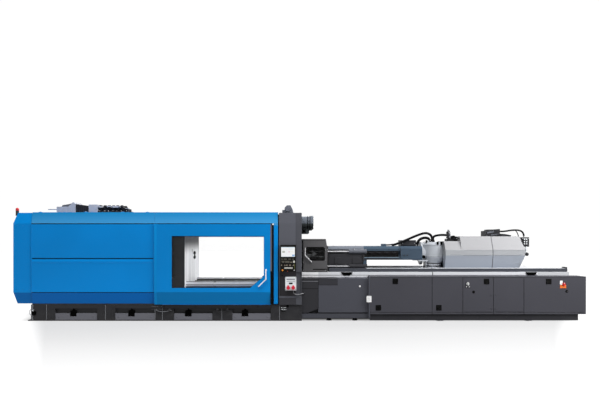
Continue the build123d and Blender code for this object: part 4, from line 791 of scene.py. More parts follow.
# Vents and service plates: pressed louvres on the rear panel where the hydraulic unit stands,
# two service plates over them and lifting plates along the roof edge.
vents = Form()
for x in (-5.9, -4.6):
    vents.bar((x - 0.42, x + 0.42), (1.3985, 1.4025), (0.86, 1.36))
    for index in range(10):
        z = 0.89 + index * 0.044
        vents.bar((x - 0.38, x + 0.38), (1.4015, 1.4027), (z, z + 0.014), 2, 0.004)
for x in (-5.95, -4.5):
    vents.bar((x - 0.5, x + 0.5), (1.3985, 1.4025), (1.62, 2.22), 0, 0.01)
    for z in (1.72, 2.12):
        vents.turned((x + 0.45, 1.39, z), (0, 1, 0), [(0.0, 0.018), (0.0125, 0.018), (0.0128, 0.016)], 20, 1)
for x, y in product((-6.3, -5.2, -4.3, -3.7), (-1.25, 1.25)):
    vents.turned((x, y, 2.62), UP, [(0.0, 0.045), (0.008, 0.045), (0.012, 0.036)], 24)
    vents.bolt((x, y, 2.632), UP, 0.013, 1)
vents.bar((-6.0, -5.0), (0.2, 1.0), (2.62, 2.628))
vents.bolts(spots((-5.95, -5.05), (0.25, 0.95), 2.628), UP, 0.01, 1)
vents.made("housing_vents", "machine", [blue_paint, bare_steel, seal_black], "blue_paint", 0.0)


# Sliding gates: blue sheet hung on a dark running rail, with a black gasket round the pane, an
# alloy closing edge with a rubber buffer and a bent alloy grip on two feet.
# Painted shade on the lower bend, a painted shadow along the top edge under the roof and a painted highlight
# down the left edge; the dark band at the foot is the running rail.
gate_blue = painted(
    "gate_blue", (0.0, 0.196, 0.545), **semi_gloss, painted_floor_light=0.45,
    marks=(
        ({"z": (0.3, 0.703)}, (0.0, 0.185, 0.49)),
        ({"z": (0.0, 0.3946)}, (0.016, 0.016, 0.018)),
        ({"z": (2.332, 2.4)}, (0.0, 0.02, 0.05)),
        ({"x": (-3.493, -3.43)}, (0.0, 0.23, 0.6)),
    ),
)
dress(["gate_front", "gate_rear"], gate_blue)
pane_colour = (0.97, 0.985, 1.0)
pane_clear, pane_shader, pane_place = blank("pane_clear", pane_colour, 0.03)
pane_shader.inputs["Specular IOR Level"].default_value = 0.3
pane_tone = noise(pane_place, 3.0).blend(tint(pane_colour, 0.98), tint(pane_colour))
pane_tone.feed(pane_shader, "Base Color")
pane_shader.inputs["Alpha"].default_value = 0.012
dress(["gate_front_pane", "gate_rear_pane"], pane_clear)
edge_alloy = machined("edge_alloy", (0.12, 0.11, 0.13), 0.5, metallic=0.5)
handle_alloy = machined("handle_alloy", (0.92, 0.92, 0.94), 0.4, metallic=0.3)
dress(["gate_front_handle"], handle_alloy)
for side, where in SIDES:
    gasket = Form()
    window = [(-3.067, 0.799), (-3.067, 2.045), (-0.852, 2.045), (-0.852, 1.075), (-1.188, 0.799)]
    gasket.rim(window, 0.006, (side * 1.4362, side * 1.4275))
    gasket.bar((-0.6985, -0.664), flank(side, 1.41, 1.4385), (1.2, 2.325), 2, 0.004)
    gasket.bar((-0.6985, -0.664), flank(side, 1.41, 1.4385), (0.42, 1.2), 0, 0.004)
    gasket.bar((-0.664, -0.655), flank(side, 1.414, 1.434), (0.42, 2.325), 0, 0.003)
    gasket.bolts([(-0.684, side * 1.4345, 0.55 + index * 0.33) for index in range(6)], (0, side, 0), 0.005, 2)
    gasket.bolts(spots((-3.25, -2.5, -1.75, -1.0), side * 1.4079, 0.348), (0, side, 0), 0.011)
    if side < 0:
        for z in (1.232, 1.008):
            gasket.turned((-0.807, -1.44, z), FRONT, [(-0.001, 0.021), (0.006, 0.021), (0.01, 0.016)], 24, 3)
    else:
        grip = [(-1.3, 1.405), (-1.3, 1.43), (-1.27, 1.43), (-1.03, 1.43), (-1.0, 1.43), (-1.0, 1.405)]
        gasket.tube([(x, y, 0.345) for x, y in grip], 0.0085, 16, 4)
    trim_finishes = [seal_black, gate_blue, edge_alloy, bare_steel, handle_alloy]
    gasket.made("gate_trim_" + where, where + "_gate", trim_finishes, "blue_paint", 0.001)
    post = Form()
    post.bar((-0.655, -0.6175), flank(side, 1.35, 1.4), (0.425, 2.34))
    post.bar((-3.494, -0.618), flank(side, 1.37, 1.398), (2.316, 2.3497))
    post.bar((-0.655, -0.6175), flank(side, 1.37, 1.4035), (2.31, 2.345), 2, 0.002)
    post.bar((-0.652, -0.6175), flank(side, 1.36, 1.4035), (1.06, 1.15), 0, 0.004)
    post.bar((-0.652, -0.6175), flank(side, 1.36, 1.4035), (0.66, 0.72), 0, 0.004)
    for z in (0.46, 2.3):
        button = [(0.0, 0.012), (0.004, 0.012), (0.006, 0.008)]
        post.turned((-0.57, side * 1.4, z), (0, side, 0), button, 20, 1)
    post.made("gate_post_" + where, "machine", [seal_black, blue_paint, handle_alloy], "blue_paint", 0.0015)


# Column covers: mid-grey sheet boxes over the ends of the fixed platen, with the bevel strip on the injection
# side painted darker as painted shade. The front one has a sunk bay for the sockets; screws run down its
# edges.
# Painted shade inside the sunk bay, on the band below the lower seam and on the bevel strip beside its dark
# joint line.
cover_paint = painted(
    "cover_paint", (0.085, 0.088, 0.105), 0.42, dust=0.05,
    marks=(
        ({"y": (-1.3995, -1.3745), "z": (0.601, 1.179)}, (0.03, 0.028, 0.032)),
        ({"z": (0.39, 0.5565)}, (0.036, 0.036, 0.042)),
        ({"x": (-0.0885, -0.0835)}, (0.02, 0.02, 0.024)),
        ({"x": (-0.0835, 0.06)}, (0.066, 0.068, 0.08)),
    ),
)
dress(["platen_cover_front", "platen_cover_rear"], cover_paint)
for side, where in SIDES:
    column = Form()
    heights = (0.45, 0.56, 1.22, 1.9, 2.28) if side < 0 else (0.45, 0.9, 1.35, 1.8, 2.28)
    column.bolts(spots((-0.475, 0.035), side * 1.4, heights), (0, side, 0), 0.007)
    column.bar((-0.4935, 0.0535), flank(side, 1.399, 1.4015), (0.556, 0.564))
    column.bar((-0.488, 0.048), flank(side, 1.02, 1.37), (2.603, 2.6065))
    column.bolts(spots((-0.46, 0.02), (side * 1.06, side * 1.33), 2.6065), UP, 0.009, 1)
    if side > 0:
        for index in range(9):
            z = 1.0 + index * 0.05
            column.prism([(1.3995, z), (1.414, z + 0.004), (1.3995, z + 0.03)], -0.4, -0.12, "X", 0)
    if side < 0:
        for x in (-0.478, 0.038):
            column.bar((x - 0.004, x + 0.004), (-1.4, -1.3745), (0.602, 1.178), 2)
        column.turned((-0.42, -1.375, 1.09), FRONT, [(0.0, 0.016), (0.004, 0.016), (0.006, 0.01)], 20, 2)
    column.made("column_trim_" + where, "machine", [cover_paint, bare_steel, seal_black], "grey_paint", 0.001)

# Control panel: black moulded bezel, a lit screen with plain coloured fields and no words, rows
# of printed membrane keys and an orange stop knob in a dark ring.
PANEL_FACE = -1.469
bezel_dark = (0.006, 0.006, 0.005)
panel_black, panel_shader, panel_place = blank("panel_black", (0.012, 0.012, 0.012), 0.35)
column, row = panel_place.axis("X").step(0.019), panel_place.axis("Z").step(0.036)
cell = panel_place.node("ShaderNodeCombineXYZ", {}, {"X": column, "Y": row})
lot = cell.node("ShaderNodeTexWhiteNoise", {"noise_dimensions": "2D"}, {"Vector": cell}, "Value")
grain = noise(panel_place, 60.0).blend(tint(bezel_dark, 0.8), tint(bezel_dark, 1.4))
keys = grain
for left, right, low, high, colour, share in (
    (-0.440, -0.125, 1.478, 1.505, (0.08, 0.075, 0.06), 0.15),
    (-0.440, -0.240, 1.405, 1.45, (0.1, 0.095, 0.08), 0.1),
    (-0.240, -0.160, 1.405, 1.43, (0.16, 0.15, 0.12), 0.45),
    (-0.152, -0.112, 1.405, 1.455, (0.6, 0.6, 0.55), 0.0),
    (-0.440, -0.112, 1.33, 1.36, (0.26, 0.22, 0.18), 0.5),
    (-0.375, -0.165, 1.262, 1.295, (0.5, 0.5, 0.47), 0.2),
    (-0.124, -0.112, 1.25, 1.38, (0.1, 0.11, 0.03), 0.0),
):
    keys = (within(panel_place, x=(left, right), z=(low, high)) * (lot > share)).blend(keys, tint(colour))
shown = within(panel_place, y=(-1.48, PANEL_FACE))
shown.blend(grain, keys).feed(panel_shader, "Base Color")
panel_shader.inputs["Specular IOR Level"].default_value = 0.12
((noise(panel_place, 90.0) - 0.5) * 0.1 + 0.36).feed(panel_shader, "Roughness")
dress(["control_panel"], panel_black)
screen_lit, screen_shader, screen_place = blank("screen_lit", (0.75, 0.82, 0.9), 0.15)
screen_shader.inputs["Base Color"].default_value = (0.02, 0.02, 0.02, 1.0)
picture = noise(screen_place, 20.0).blend(tint((0.94, 0.96, 0.97)), tint((1.0, 1.0, 1.0)))
for left, right, low, high, colour in (
    (-0.440, -0.111, 1.762, 1.781, (0.76, 0.87, 0.96)),
    (-0.440, -0.111, 1.548, 1.558, (0.8, 0.86, 0.92)),
    (-0.265, -0.150, 1.727, 1.742, (0.74, 0.88, 0.95)),
    (-0.412, -0.352, 1.642, 1.69, (0.5, 0.52, 0.46)),
    (-0.345, -0.325, 1.66, 1.672, (0.72, 0.72, 0.68)),
    (-0.306, -0.300, 1.6, 1.735, (0.82, 0.85, 0.88)),
    (-0.265, -0.235, 1.65, 1.685, (0.86, 0.66, 0.72)),
    (-0.230, -0.145, 1.664, 1.672, (0.86, 0.84, 0.62)),
    (-0.178, -0.117, 1.558, 1.602, (0.3, 0.5, 0.78)),
    (-0.430, -0.330, 1.575, 1.582, (0.8, 0.85, 0.9)),
):
    picture = within(screen_place, x=(left, right), z=(low, high)).blend(picture, tint(colour))
picture.feed(screen_shader, "Emission Color")
screen_shader.inputs["Emission Strength"].default_value = 0.84
dress(["control_screen"], screen_lit)
orange_plastic = moulded("orange_plastic", (0.72, 0.24, 0.02), 0.32)
dress(["stop_knob"], orange_plastic)
lamp_red = moulded("lamp_red", (0.25, 0.03, 0.01), 0.3)
panel_trim = Form()
for x in (-0.4592, -0.0918):
    panel_trim.bar((x - 0.003, x + 0.003), (-1.4725, -1.4), (1.19, 1.829))
for z in (1.1885, 1.52, 1.8305):
    panel_trim.bar((-0.459, -0.092), (-1.4725, -1.468), (z - 0.0025, z + 0.0025))
knob_ring = [(0.0, 0.031), (0.0035, 0.031), (0.0045, 0.027)]
panel_trim.turned((-0.4066, -1.4695, 1.224), FRONT, knob_ring, 32, 1, 0.0235)
button = [(0.0, 0.013), (0.007, 0.013), (0.009, 0.01)]
for x in (-0.33, -0.28, -0.23, -0.18):
    panel_trim.turned((x, PANEL_FACE, 1.224), FRONT, button, 20, 1)
key_switch = [(0.0, 0.014), (0.005, 0.014), (0.005, 0.007), (0.018, 0.007)]
panel_trim.turned((-0.13, PANEL_FACE, 1.224), FRONT, key_switch, 20, 3)
panel_trim.turned((-0.287, PANEL_FACE, 1.2), FRONT, [(0.0, 0.011), (0.006, 0.011), (0.008, 0.008)], 20, 2)
panel_finishes = [panel_black, seal_black, lamp_red, bare_steel]
panel_trim.made("control_panel_trim", "machine", panel_finishes, "panel_plastic", 0.0008)

# Socket box: a white moulded box with a clear breaker flap, two capped red sockets on a hinge
# and four cover screws, standing in the sunk bay.
socket_white = moulded("socket_white", (0.7, 0.73, 0.75), 0.35)
dress(["socket_box"], socket_white)
lid_red = moulded("lid_red", (0.58, 0.012, 0.035), 0.3)
dress(["socket_lids"], lid_red)
socket_trim = Form()
socket_trim.bar((-0.253, -0.165), (-1.4835, -1.4772), (0.89, 0.932))
for x in (-0.245, -0.226, -0.207, -0.188):
    socket_trim.bar((x, x + 0.013), (-1.4855, -1.48), (0.9, 0.922), 1, 0.001)
for low, high in ((1.0, 1.022), (0.958, 0.966)):
    socket_trim.bar((-0.31, -0.108), (-1.4865, -1.4845), (low, high), 2)
for x in (-0.3385, -0.0795):
    socket_trim.bar((x - 0.0022, x + 0.0022), (-1.4835, -1.38), (0.72, 1.07), 2)
for place in spots((-0.324, -0.094), -1.485, (0.762, 1.044)):
    socket_trim.turned(place, FRONT, [(0.0, 0.008), (0.002, 0.008), (0.003, 0.005)], 16, 2)
gland = [(-0.002, 0.013), (0.006, 0.013), (0.008, 0.01), (0.0004, 0.009)]
socket_trim.turned((-0.15, -1.43, 0.742), (0, 0, -1), gland, 6, 2)
socket_finishes = [seal_black, cast_black, ledge_paint]
socket_trim.made("socket_box_trim", "machine", socket_finishes, "socket_plastic", 0.0008)
lid_rings = Form()
for x in (-0.269, -0.149):
    raised = [(-0.002, 0.034), (-0.0005, 0.034), (-0.0005, 0.028), (-0.002, 0.028)]
    lid_rings.turned((x, -1.5113, 0.806), FRONT, raised, 32)
lid_rings.made("socket_lid_rings", "socket_flaps", [lid_red], "red_plastic", 0.0)


# Bed under the injection unit: dark box girder, pale edge rails with a painted shadow line and end stops,
# dark guide beams with a bright running edge, their inner faces and top edges painted pale as painted
# highlights, and scooped stops on the rails.
bed_paint = painted("bed_paint", (0.036, 0.036, 0.042), 0.42, dust=0.05)
dress(["bed_frame"], bed_paint)
# Painted highlights: the beams' inner faces and top edges are painted pale.
beam_paint = painted(
    "beam_paint", (0.045, 0.048, 0.058), 0.4, dust=0.0,
    marks=(
        ({"y": (0.58, 0.612)}, (0.85, 0.86, 0.88)),
        ({"y": (-0.612, -0.58)}, (0.85, 0.86, 0.88)),
        ({"x": (1.68, 6.72), "z": (1.2365, 1.3)}, (0.7, 0.72, 0.74)),
    ),
)
dress(["guide_beams"], beam_paint)
# A painted shadow line runs along the rails.
rail_paint = painted(
    "rail_paint", (0.6, 0.61, 0.64), 0.4, dust=0.0,
    marks=(
        ({"x": (0.0, 0.47)}, (0.85, 0.85, 0.87)),
        ({"z": (1.066, 1.082)}, (0.2, 0.2, 0.22)),
        ({"x": (3.305, 3.325)}, (0.04, 0.04, 0.045)),
        ({"x": (5.93, 6.95)}, (0.46, 0.47, 0.49)),
    ),
)
dress(["bed_edge_rails"], rail_paint)
for side, where in SIDES:
    stops = Form()
    for x in (1.032, 5.622):
        scoop = [(0.0, 1.1515), (0.03, 1.1), (0.07, 1.07), (0.22, 1.07), (0.26, 1.1), (0.29, 1.1515)]
        stops.prism([(x + along, z) for along, z in scoop], side * 0.918, side * 0.934, "Y", 3)
        stops.bolts(spots((x + 0.02, x + 0.27), side * 0.92, 1.1), (0, side, 0), 0.009, 1)
    if side < 0:
        stops.bar((6.655, 6.712), (-0.815, -0.63), (1.2375, 1.272), 0, 0.006)
    stations = [0.3 + index * 0.56 for index in range(12)]
    clear = [x for x in stations if min(abs(x - 1.18), abs(x - 5.77)) > 0.2]
    stops.bolts(spots(clear, side * 0.92, 1.05), (0, side, 0), 0.009, 2)
    stops.bolts([(0.9 + index * 0.41, side * 0.76, 1.236) for index in range(15)], UP, 0.008, 1)
    stops.bar((1.68, 6.6), flank(side, 0.803, 0.819), (1.2375, 1.251 if side < 0 else 1.24), 2)
    stop_finishes = [bed_paint, bare_steel, rail_paint, cast_black]
    stops.made("bed_stops_" + where, "machine", stop_finishes, "light_rail", 0.0015)

# Bed covers: a dark folded cover with a cut foot, then a long grey one over a channel rail, with
# flush screws, a round plug and a small plate.
bed_cover_paint = painted(
    "bed_cover_paint", (0.06, 0.062, 0.076), 0.45, dust=0.03,
    marks=(
        ({"x": (0.0, 0.4555)}, (0.026, 0.026, 0.03)),
        ({"z": (0.0, 0.1865)}, (0.052, 0.054, 0.066)),
        ({"x": (0.46, 0.925), "z": (0.86, 1.03)}, (0.03, 0.03, 0.036)),
    ),
)
dress(["bed_covers"], bed_cover_paint)
plate_white = moulded("plate_white", (0.8, 0.8, 0.8), 0.4)
COVER_FACE = -1.33
proud = (-1.3325, -1.329)
covers = Form()
covers.bar((0.058, 0.452), proud, (0.945, 0.955), 1)
covers.bar((0.058, 0.452), proud, (0.77, 0.778), 2)
covers.bar((0.458, 0.925), proud, (0.858, 0.863), 2)
covers.bar((0.458, 1.664), proud, (0.19, 0.197), 2)
covers.bar((0.452, 0.46), (-1.332, -1.329), (0.3, 1.02), 2)
covers.bolts(spots((0.09, 0.42), COVER_FACE, (0.33, 0.62, 0.9, 1.0)), FRONT, 0.006, 2)
covers.bolts(spots((0.5, 0.9, 1.3, 1.63), COVER_FACE, (0.24, 0.62, 0.99)), FRONT, 0.006)
covers.turned((1.46, COVER_FACE, 0.83), FRONT, [(0.0, 0.022), (0.004, 0.022), (0.007, 0.014)], 24, 5)
covers.bar((1.664, 1.7035), (-1.398, -1.329), (0.06, 1.06), 0, 0.004)
covers.bar((0.06, 1.665), (-1.3335, -1.329), (0.176, 0.186), 2)
covers.bar((0.06, 1.665), (-1.3335, -1.329), (0.056, 0.062), 2)
for x in (0.716, 1.346):
    covers.turned((x, -1.25, 0.0), UP, [(0.0, 0.064), (0.022, 0.064), (0.034, 0.046), (0.055, 0.04)], 28, 2)
cover_finishes = [bed_cover_paint, zinc, seal_black, bare_steel, rail_paint, plate_white]
covers.made("bed_cover_trim", "machine", cover_finishes, "cabinet_paint", 0.0008)


# Cabinet row: grey sheet cabinets on a dark plinth. Black square vents, a swing handle and locks,
# concealed hinges on the doors and two rotary switches on plates.
CABINET_FACE = -1.4
seam_dark = (0.008, 0.008, 0.01)
# A painted shadow line runs along the top of the plinth, and dark stripes on the right end are painted louvre
# slots whose dark stands for the shade inside them.
cabinet_paint = painted(
    "cabinet_paint", (0.052, 0.052, 0.063), 0.46, dust=0.02,
    marks=(
        ({"x": (3.185, 3.199)}, seam_dark),
        ({"x": (3.925, 3.938), "y": (-1.41, -1.39)}, seam_dark),
        ({"x": (4.662, 4.675), "y": (-1.41, -1.39)}, seam_dark),
        ({"x": (5.395, 5.409)}, seam_dark),
        ({"z": (0.0, 0.1632)}, (0.02, 0.02, 0.024)),
        ({"z": (0.155, 0.1632)}, (0.003, 0.003, 0.003)),
        *(
            ({"x": (6.8935, 6.9), "y": (-1.3, -1.02), "z": (z, z + 0.014)}, (0.006, 0.006, 0.008))
            for z in (0.4, 0.45, 0.5, 0.55, 0.6, 0.65)
        ),
        ({"z": (0.2, 0.2112)}, (0.02, 0.02, 0.024)),
        ({"z": (1.0501, 1.0569)}, (0.03, 0.03, 0.034)),
    ),
)
dress(["cabinet_body", "cabinet_door_left", "cabinet_door_right"], cabinet_paint)
switch_red = moulded("switch_red", (0.6, 0.02, 0.02), 0.32)
plate_orange = moulded("plate_orange", (0.78, 0.16, 0.02), 0.4)
switch_pale = moulded("switch_pale", (0.5, 0.51, 0.5), 0.36)


def vent(form, x, z):
    """A square filter vent of slats in a frame, standing on a cabinet face."""
    form.bar((x - 0.066, x + 0.066), (CABINET_FACE - 0.005, CABINET_FACE), (z - 0.066, z + 0.066), 0, 0.006)
    foot, lip = CABINET_FACE - 0.004, CABINET_FACE - 0.013
    for index in range(6):
        low = z - 0.054 + index * 0.019
        form.prism([(foot, low), (lip, low + 0.002), (foot, low + 0.014)], x - 0.056, x + 0.056, "X")


body_trim = Form()
for x, z in ((2.306, 0.957), (1.898, 0.32), (3.353, 0.32), (5.998, 0.952)):
    vent(body_trim, x, z)
body_trim.bolts(spots((1.95, 2.7, 3.1, 5.6, 6.3, 6.75), CABINET_FACE, (0.24, 1.03)), FRONT, 0.006, 5)
body_trim.bar((1.615, 1.732), (-1.404, -1.3995), (0.452, 0.605), 2, 0.008)
body_trim.bar((1.66, 1.69), (-1.4048, -1.4035), (0.53, 0.536), 6)
body_trim.bar((1.655, 1.695), (-1.4048, -1.4035), (0.5, 0.504), 6)
body_trim.bar((6.262, 6.436), (-1.402, -1.399), (0.786, 0.976), 5, 0.006)
body_trim.bar((6.268, 6.334), (-1.4035, -1.4015), (0.872, 0.97), 2, 0.003)
body_trim.bar((6.27, 6.42), (-1.4035, -1.4015), (0.792, 0.866), 3, 0.003)
lock = [(0.0, 0.034), (0.003, 0.034), (0.004, 0.018), (0.012, 0.018), (0.018, 0.013)]
body_trim.turned((6.434, CABINET_FACE, 0.715), FRONT, lock, 28)
body_trim.turned((6.434, -1.418, 0.715), FRONT, [(0.0, 0.006), (0.004, 0.005)], 8, 1)
body_trim.bolts(spots((2.05, 3.05, 4.3, 5.0, 6.4), -1.37, 0.09), FRONT, 0.009, 5)
body_trim.bar((1.71, 6.89), (-1.4035, -1.398), (1.0672, 1.0715), 5)
body_trim.bolts(spots((1.85, 2.9, 3.95, 5.0, 6.05, 6.8), (-1.34, -0.98), 1.068), UP, 0.009, 1)
for place in spots((3.394, 5.53), (-1.31, -1.01), 0.0):
    body_trim.turned(place, UP, [(0.0, 0.093), (0.004, 0.093), (0.008, 0.087)], 32, 1)
body_finishes = [seal_black, bare_steel, plate_white, plate_orange, switch_red, cabinet_paint, grey_paint]
body_trim.made("cabinet_trim", "machine", body_finishes, "cabinet_paint", 0.0008)
for name, left, right, hinge, lock in (
    ("left", 3.935, 4.664, (3.935, 3.947), 4.614),
    ("right", 4.672, 5.398, (5.386, 5.398), 4.722),
):
    door = Form()
    for z in (0.32, 0.94):
        door.bar(hinge, (-1.4025, -1.399), (z - 0.035, z + 0.035), 3)
    for z in (0.3, 0.63):
        door.turned((lock, CABINET_FACE, z), FRONT, [(0.0, 0.016), (0.006, 0.016), (0.009, 0.011)], 24, 3)
        door.bar((lock - 0.002, lock + 0.002), (-1.4105, -1.408), (z - 0.008, z + 0.008))
    door.bar((left + 0.03, right - 0.03), (-1.4012, -1.3995), (0.235, 0.238))
    if name == "left":
        vent(door, 4.502, 0.952)
        door.bar((3.995, 4.105), (-1.4028, -1.399), (0.8, 0.95), 3, 0.006)
        for x in (4.018, 4.085):
            door.turned((x, -1.4025, 0.825), FRONT, [(0.0, 0.012), (0.002, 0.012), (0.003, 0.009)], 16, 4)
        swing = [(0.0, 0.034), (0.003, 0.034), (0.004, 0.016), (0.01, 0.012)]
        door.turned((4.19, CABINET_FACE, 0.7), FRONT, swing, 28)
    door_finishes = [seal_black, bare_steel, zinc, cabinet_paint, plate_white]
    door.made("cabinet_door_trim_" + name, name + "_door", door_finishes, "cabinet_paint", 0.0008)
for name, x, z, body, colour, slot in (
    ("main", 6.36, 0.886, "power_switch", switch_red, "red_plastic"),
    ("small", 4.05, 0.895, "door_switch", switch_pale, "cabinet_paint"),
):
    dress([name + "_switch"], colour)
    pointer = Form()
    pointer.bar((x - 0.003, x + 0.003), (-1.4408, -1.4395), (z + 0.01, z + 0.036))
    for place in circle((x, -1.403, z), "Y", 0.0355, 16):
        pointer.turned(place, FRONT, [(0.0, 0.0022), (0.013, 0.0022)], 8, 1)
    pointer.made(name + "_switch_pointer", body, [plate_white, colour], slot, 0.0)


# Purge guard: dark folded trough on runners with a tinted pane behind a black rim, hinged side
# screws and an alloy grip. Through the pane the barrel's front end shows.
guard_paint = painted(
    "guard_paint", (0.088, 0.086, 0.09), 0.44, dust=0.0,
    marks=(({"y": (-0.96, -0.9015)}, (0.6, 0.6, 0.62)),),
)
dress(["purge_guard"], guard_paint)
pane_dark, dark_shader, dark_place = blank("pane_dark", (0.004, 0.004, 0.004), 0.08)
dark_shader.inputs["Alpha"].default_value = 0.8
dark_shader.inputs["Specular IOR Level"].default_value = 0.1
smears = noise(dark_place, 7.0, 3.0, (1.0, 1.0, 2.2)).ramp(0.52, 0.66)
smears.blend(tint((0.004, 0.004, 0.004)), tint((0.075, 0.078, 0.08))).feed(dark_shader, "Base Color")
dress(["purge_panes"], pane_dark)
for side, where in SIDES:
    guard = Form()
    window = [(0.275, 1.455), (0.185, 1.545), (0.185, 1.755), (0.61, 1.755), (0.61, 1.455)]
    guard.rim(window, -0.022, (side * 0.8995, side * 0.9015), 1)
    for x, heights in ((0.09, (1.2, 1.4)), (0.65, (1.2, 1.45, 1.7))):
        guard.bolts(spots(x, side * 0.9, heights), (0, side, 0), 0.008, 2)
    guard.bar((0.064, 0.693), flank(side, 0.899, 0.903), (1.155, 1.172), 1)
    seam = flank(side, 0.899, 0.9025)
    guard.bar((0.064, 0.65), seam, (1.94, 1.946), 1)
    guard.bar((0.0625, 0.095), seam, (1.172, 1.94), 1)
    guard.bar((0.33, 0.685), seam, (1.206, 1.23), 1, 0.011)
    guard_finishes = [guard_paint, seal_black, bare_steel]
    guard.made("purge_guard_trim_" + where, "nozzle_guard", guard_finishes, "guard_grey", 0.0008)


# Front support and barrel shroud: dark machined cradle, blue-grey trough with painted highlights along its
# upper edge and on a low step and painted shade in dark and black bands down its side, sunk bays and bars
# down its side, terminal boxes and lifting screws.
hose_rubber = moulded("hose_rubber", (0.003, 0.003, 0.004), 0.5, shine=0.15)
support_paint = painted("support_paint", (0.03, 0.03, 0.034), 0.42, dust=0.0)
dress(["front_support"], support_paint)
slate_colour = (0.044, 0.066, 0.095)
# Painted highlights along the upper edge and on a low step, painted shade in the dark and black bands between
# them.
shroud_paint = painted(
    "shroud_paint", slate_colour, 0.36, dust=0.0,
    marks=(
        ({"x": (0.0, 1.66), "z": (1.4, 1.705)}, (0.04, 0.04, 0.044)),
        ({"x": (1.66, 2.56), "z": (1.725, 1.792)}, (0.048, 0.074, 0.106)),
        ({"x": (0.0, 1.66), "z": (1.704, 1.792)}, (0.15, 0.165, 0.195)),
        ({"x": (1.66, 2.56), "z": (1.585, 1.668)}, (0.03, 0.027, 0.03)),
        ({"x": (1.66, 2.56), "z": (1.5, 1.585)}, (0.003, 0.003, 0.003)),
        ({"x": (1.66, 2.56), "z": (1.488, 1.51)}, (0.12, 0.165, 0.21)),
        ({"x": (1.66, 2.56), "z": (1.42, 1.487)}, (0.02, 0.024, 0.03)),
    ),
)
dress(["barrel_shroud"], shroud_paint)
dress(["barrel", "screw", "injection_piston"], bare_steel)
dress(["carriage_cylinders"], grey_paint)
for side, where in SIDES:
    shroud = Form()
    near = side * 0.32
    shroud.bar((1.75, 2.58), flank(side, 0.32, 0.336), (1.59, 1.6), 1)
    for x in (1.8, 2.0, 2.2, 2.4):
        shroud.bar((x, x + 0.1), flank(side, 0.32, 0.35), (1.612, 1.655), 0, 0.006)
        lead = [
            (x + 0.05, near, 1.61), (x + 0.05, side * 0.345, 1.6),
            (x + 0.1, side * 0.352, 1.57), (x + 0.16, side * 0.34, 1.555),
        ]
        shroud.tube(lead, 0.008, 10, 2)
    edge = spots((0.8, 1.1, 1.4, 1.7, 2.0, 2.3, 2.56), side * 0.38, (1.47, 1.705))
    shroud.bolts(edge, (0, side, 0), 0.009)
    shroud.bar((0.75, 1.15), flank(side, 0.38, 0.392), (1.62, 1.69), 0, 0.01)
    shroud.bar((1.66, 1.74), flank(side, 0.38, 0.4), (1.595, 1.7), 4, 0.006)
    shroud_finishes = [support_paint, cast_black, hose_rubber, bare_steel, shroud_paint]
    shroud.made("shroud_trim_" + where, "carriage", shroud_finishes, "slate_paint", 0.0012)
    support = Form()
    stations = (0.78, 1.0, 1.3, 1.6)
    support.bolts(spots(stations, side * 0.58, 1.205), UP, 0.013)
    support.bolts(spots(stations, side * 0.44, 1.25), (0, side, 0), 0.013)
    support.bolts(spots(stations, side * 0.44, 1.555), (0, side, 0), 0.011)
    support.bar((0.9, 1.1), flank(side, 0.44, 0.452), (1.34, 1.5), 0, 0.02)
    support.bar((1.36, 1.56), flank(side, 0.44, 0.452), (1.34, 1.5), 0, 0.02)
    support.bar((1.64, 1.726), flank(side, 0.44, 0.47), (1.22, 1.58), 2, 0.01)
    support_finishes = [support_paint, bare_steel, shroud_paint]
    support.made("support_trim_" + where, "carriage", support_finishes, "base_paint", 0.0015)
    rams = Form()
    left_end = [(-0.001, 0.056), (0.0, 0.062), (0.028, 0.062), (0.03, 0.056)]
    right_end = [(-0.03, 0.056), (-0.028, 0.062), (0.0, 0.062), (0.001, 0.056)]
    rams.turned((1.2674, side * 0.4356, 1.65), RIGHT, left_end, 32)
    rams.turned((1.7215, side * 0.4356, 1.65), RIGHT, right_end, 32)
    nipple = [(-0.01, 0.014), (0.016, 0.014), (0.02, 0.009), (0.04, 0.009)]
    rams.turned((1.4, side * 0.46, 1.703), UP, nipple, 12, 1)
    rams.made("ram_trim_" + where, "carriage", [grey_paint, bare_steel], "grey_paint", 0.001)
top = Form()
top.bolts(spots((0.9, 1.5, 2.1, 2.5), (-0.22, 0.22), 1.786), UP, 0.012, 1)
top.bar((1.0, 2.2), (-0.12, 0.12), (1.7895, 1.7915), 0, 0.001)
coupling = [(0.0005, 0.024), (0.03, 0.026), (0.032, 0.02), (0.05, 0.02)]
top.turned((2.2503, -0.26, 1.82), LEFT, coupling, 6, 1)
top.made("shroud_top_trim", "carriage", [shroud_paint, bare_steel], "slate_paint", 0.001)

# Heater bands and nozzle: clamped steel bands with terminal blocks on the barrel, a hexagon on
# the nozzle.
bands = Form()
for x in (-0.06, 0.09, 0.24, 0.39, 0.54):
    for reach in (0.006, 0.106):
        edge = [(0.0, 0.1262), (0.001, 0.129), (0.007, 0.129), (0.008, 0.1262)]
        bands.turned((x + reach, 0, AXIS_HEIGHT), RIGHT, edge, 40, bore=0.125)
    bands.bar((x + 0.03, x + 0.09), (-0.15, -0.12), (1.575, 1.625), 1, 0.006)
    bands.bolt((x + 0.06, -0.02, 1.726), UP, 0.009)
bands.turned((-0.36, 0, AXIS_HEIGHT), RIGHT, [(0.0, 0.066), (0.06, 0.066)], 6, bore=0.054)
bands.made("heater_bands", "carriage", [bare_steel, cast_black], "machined_steel", 0.001)

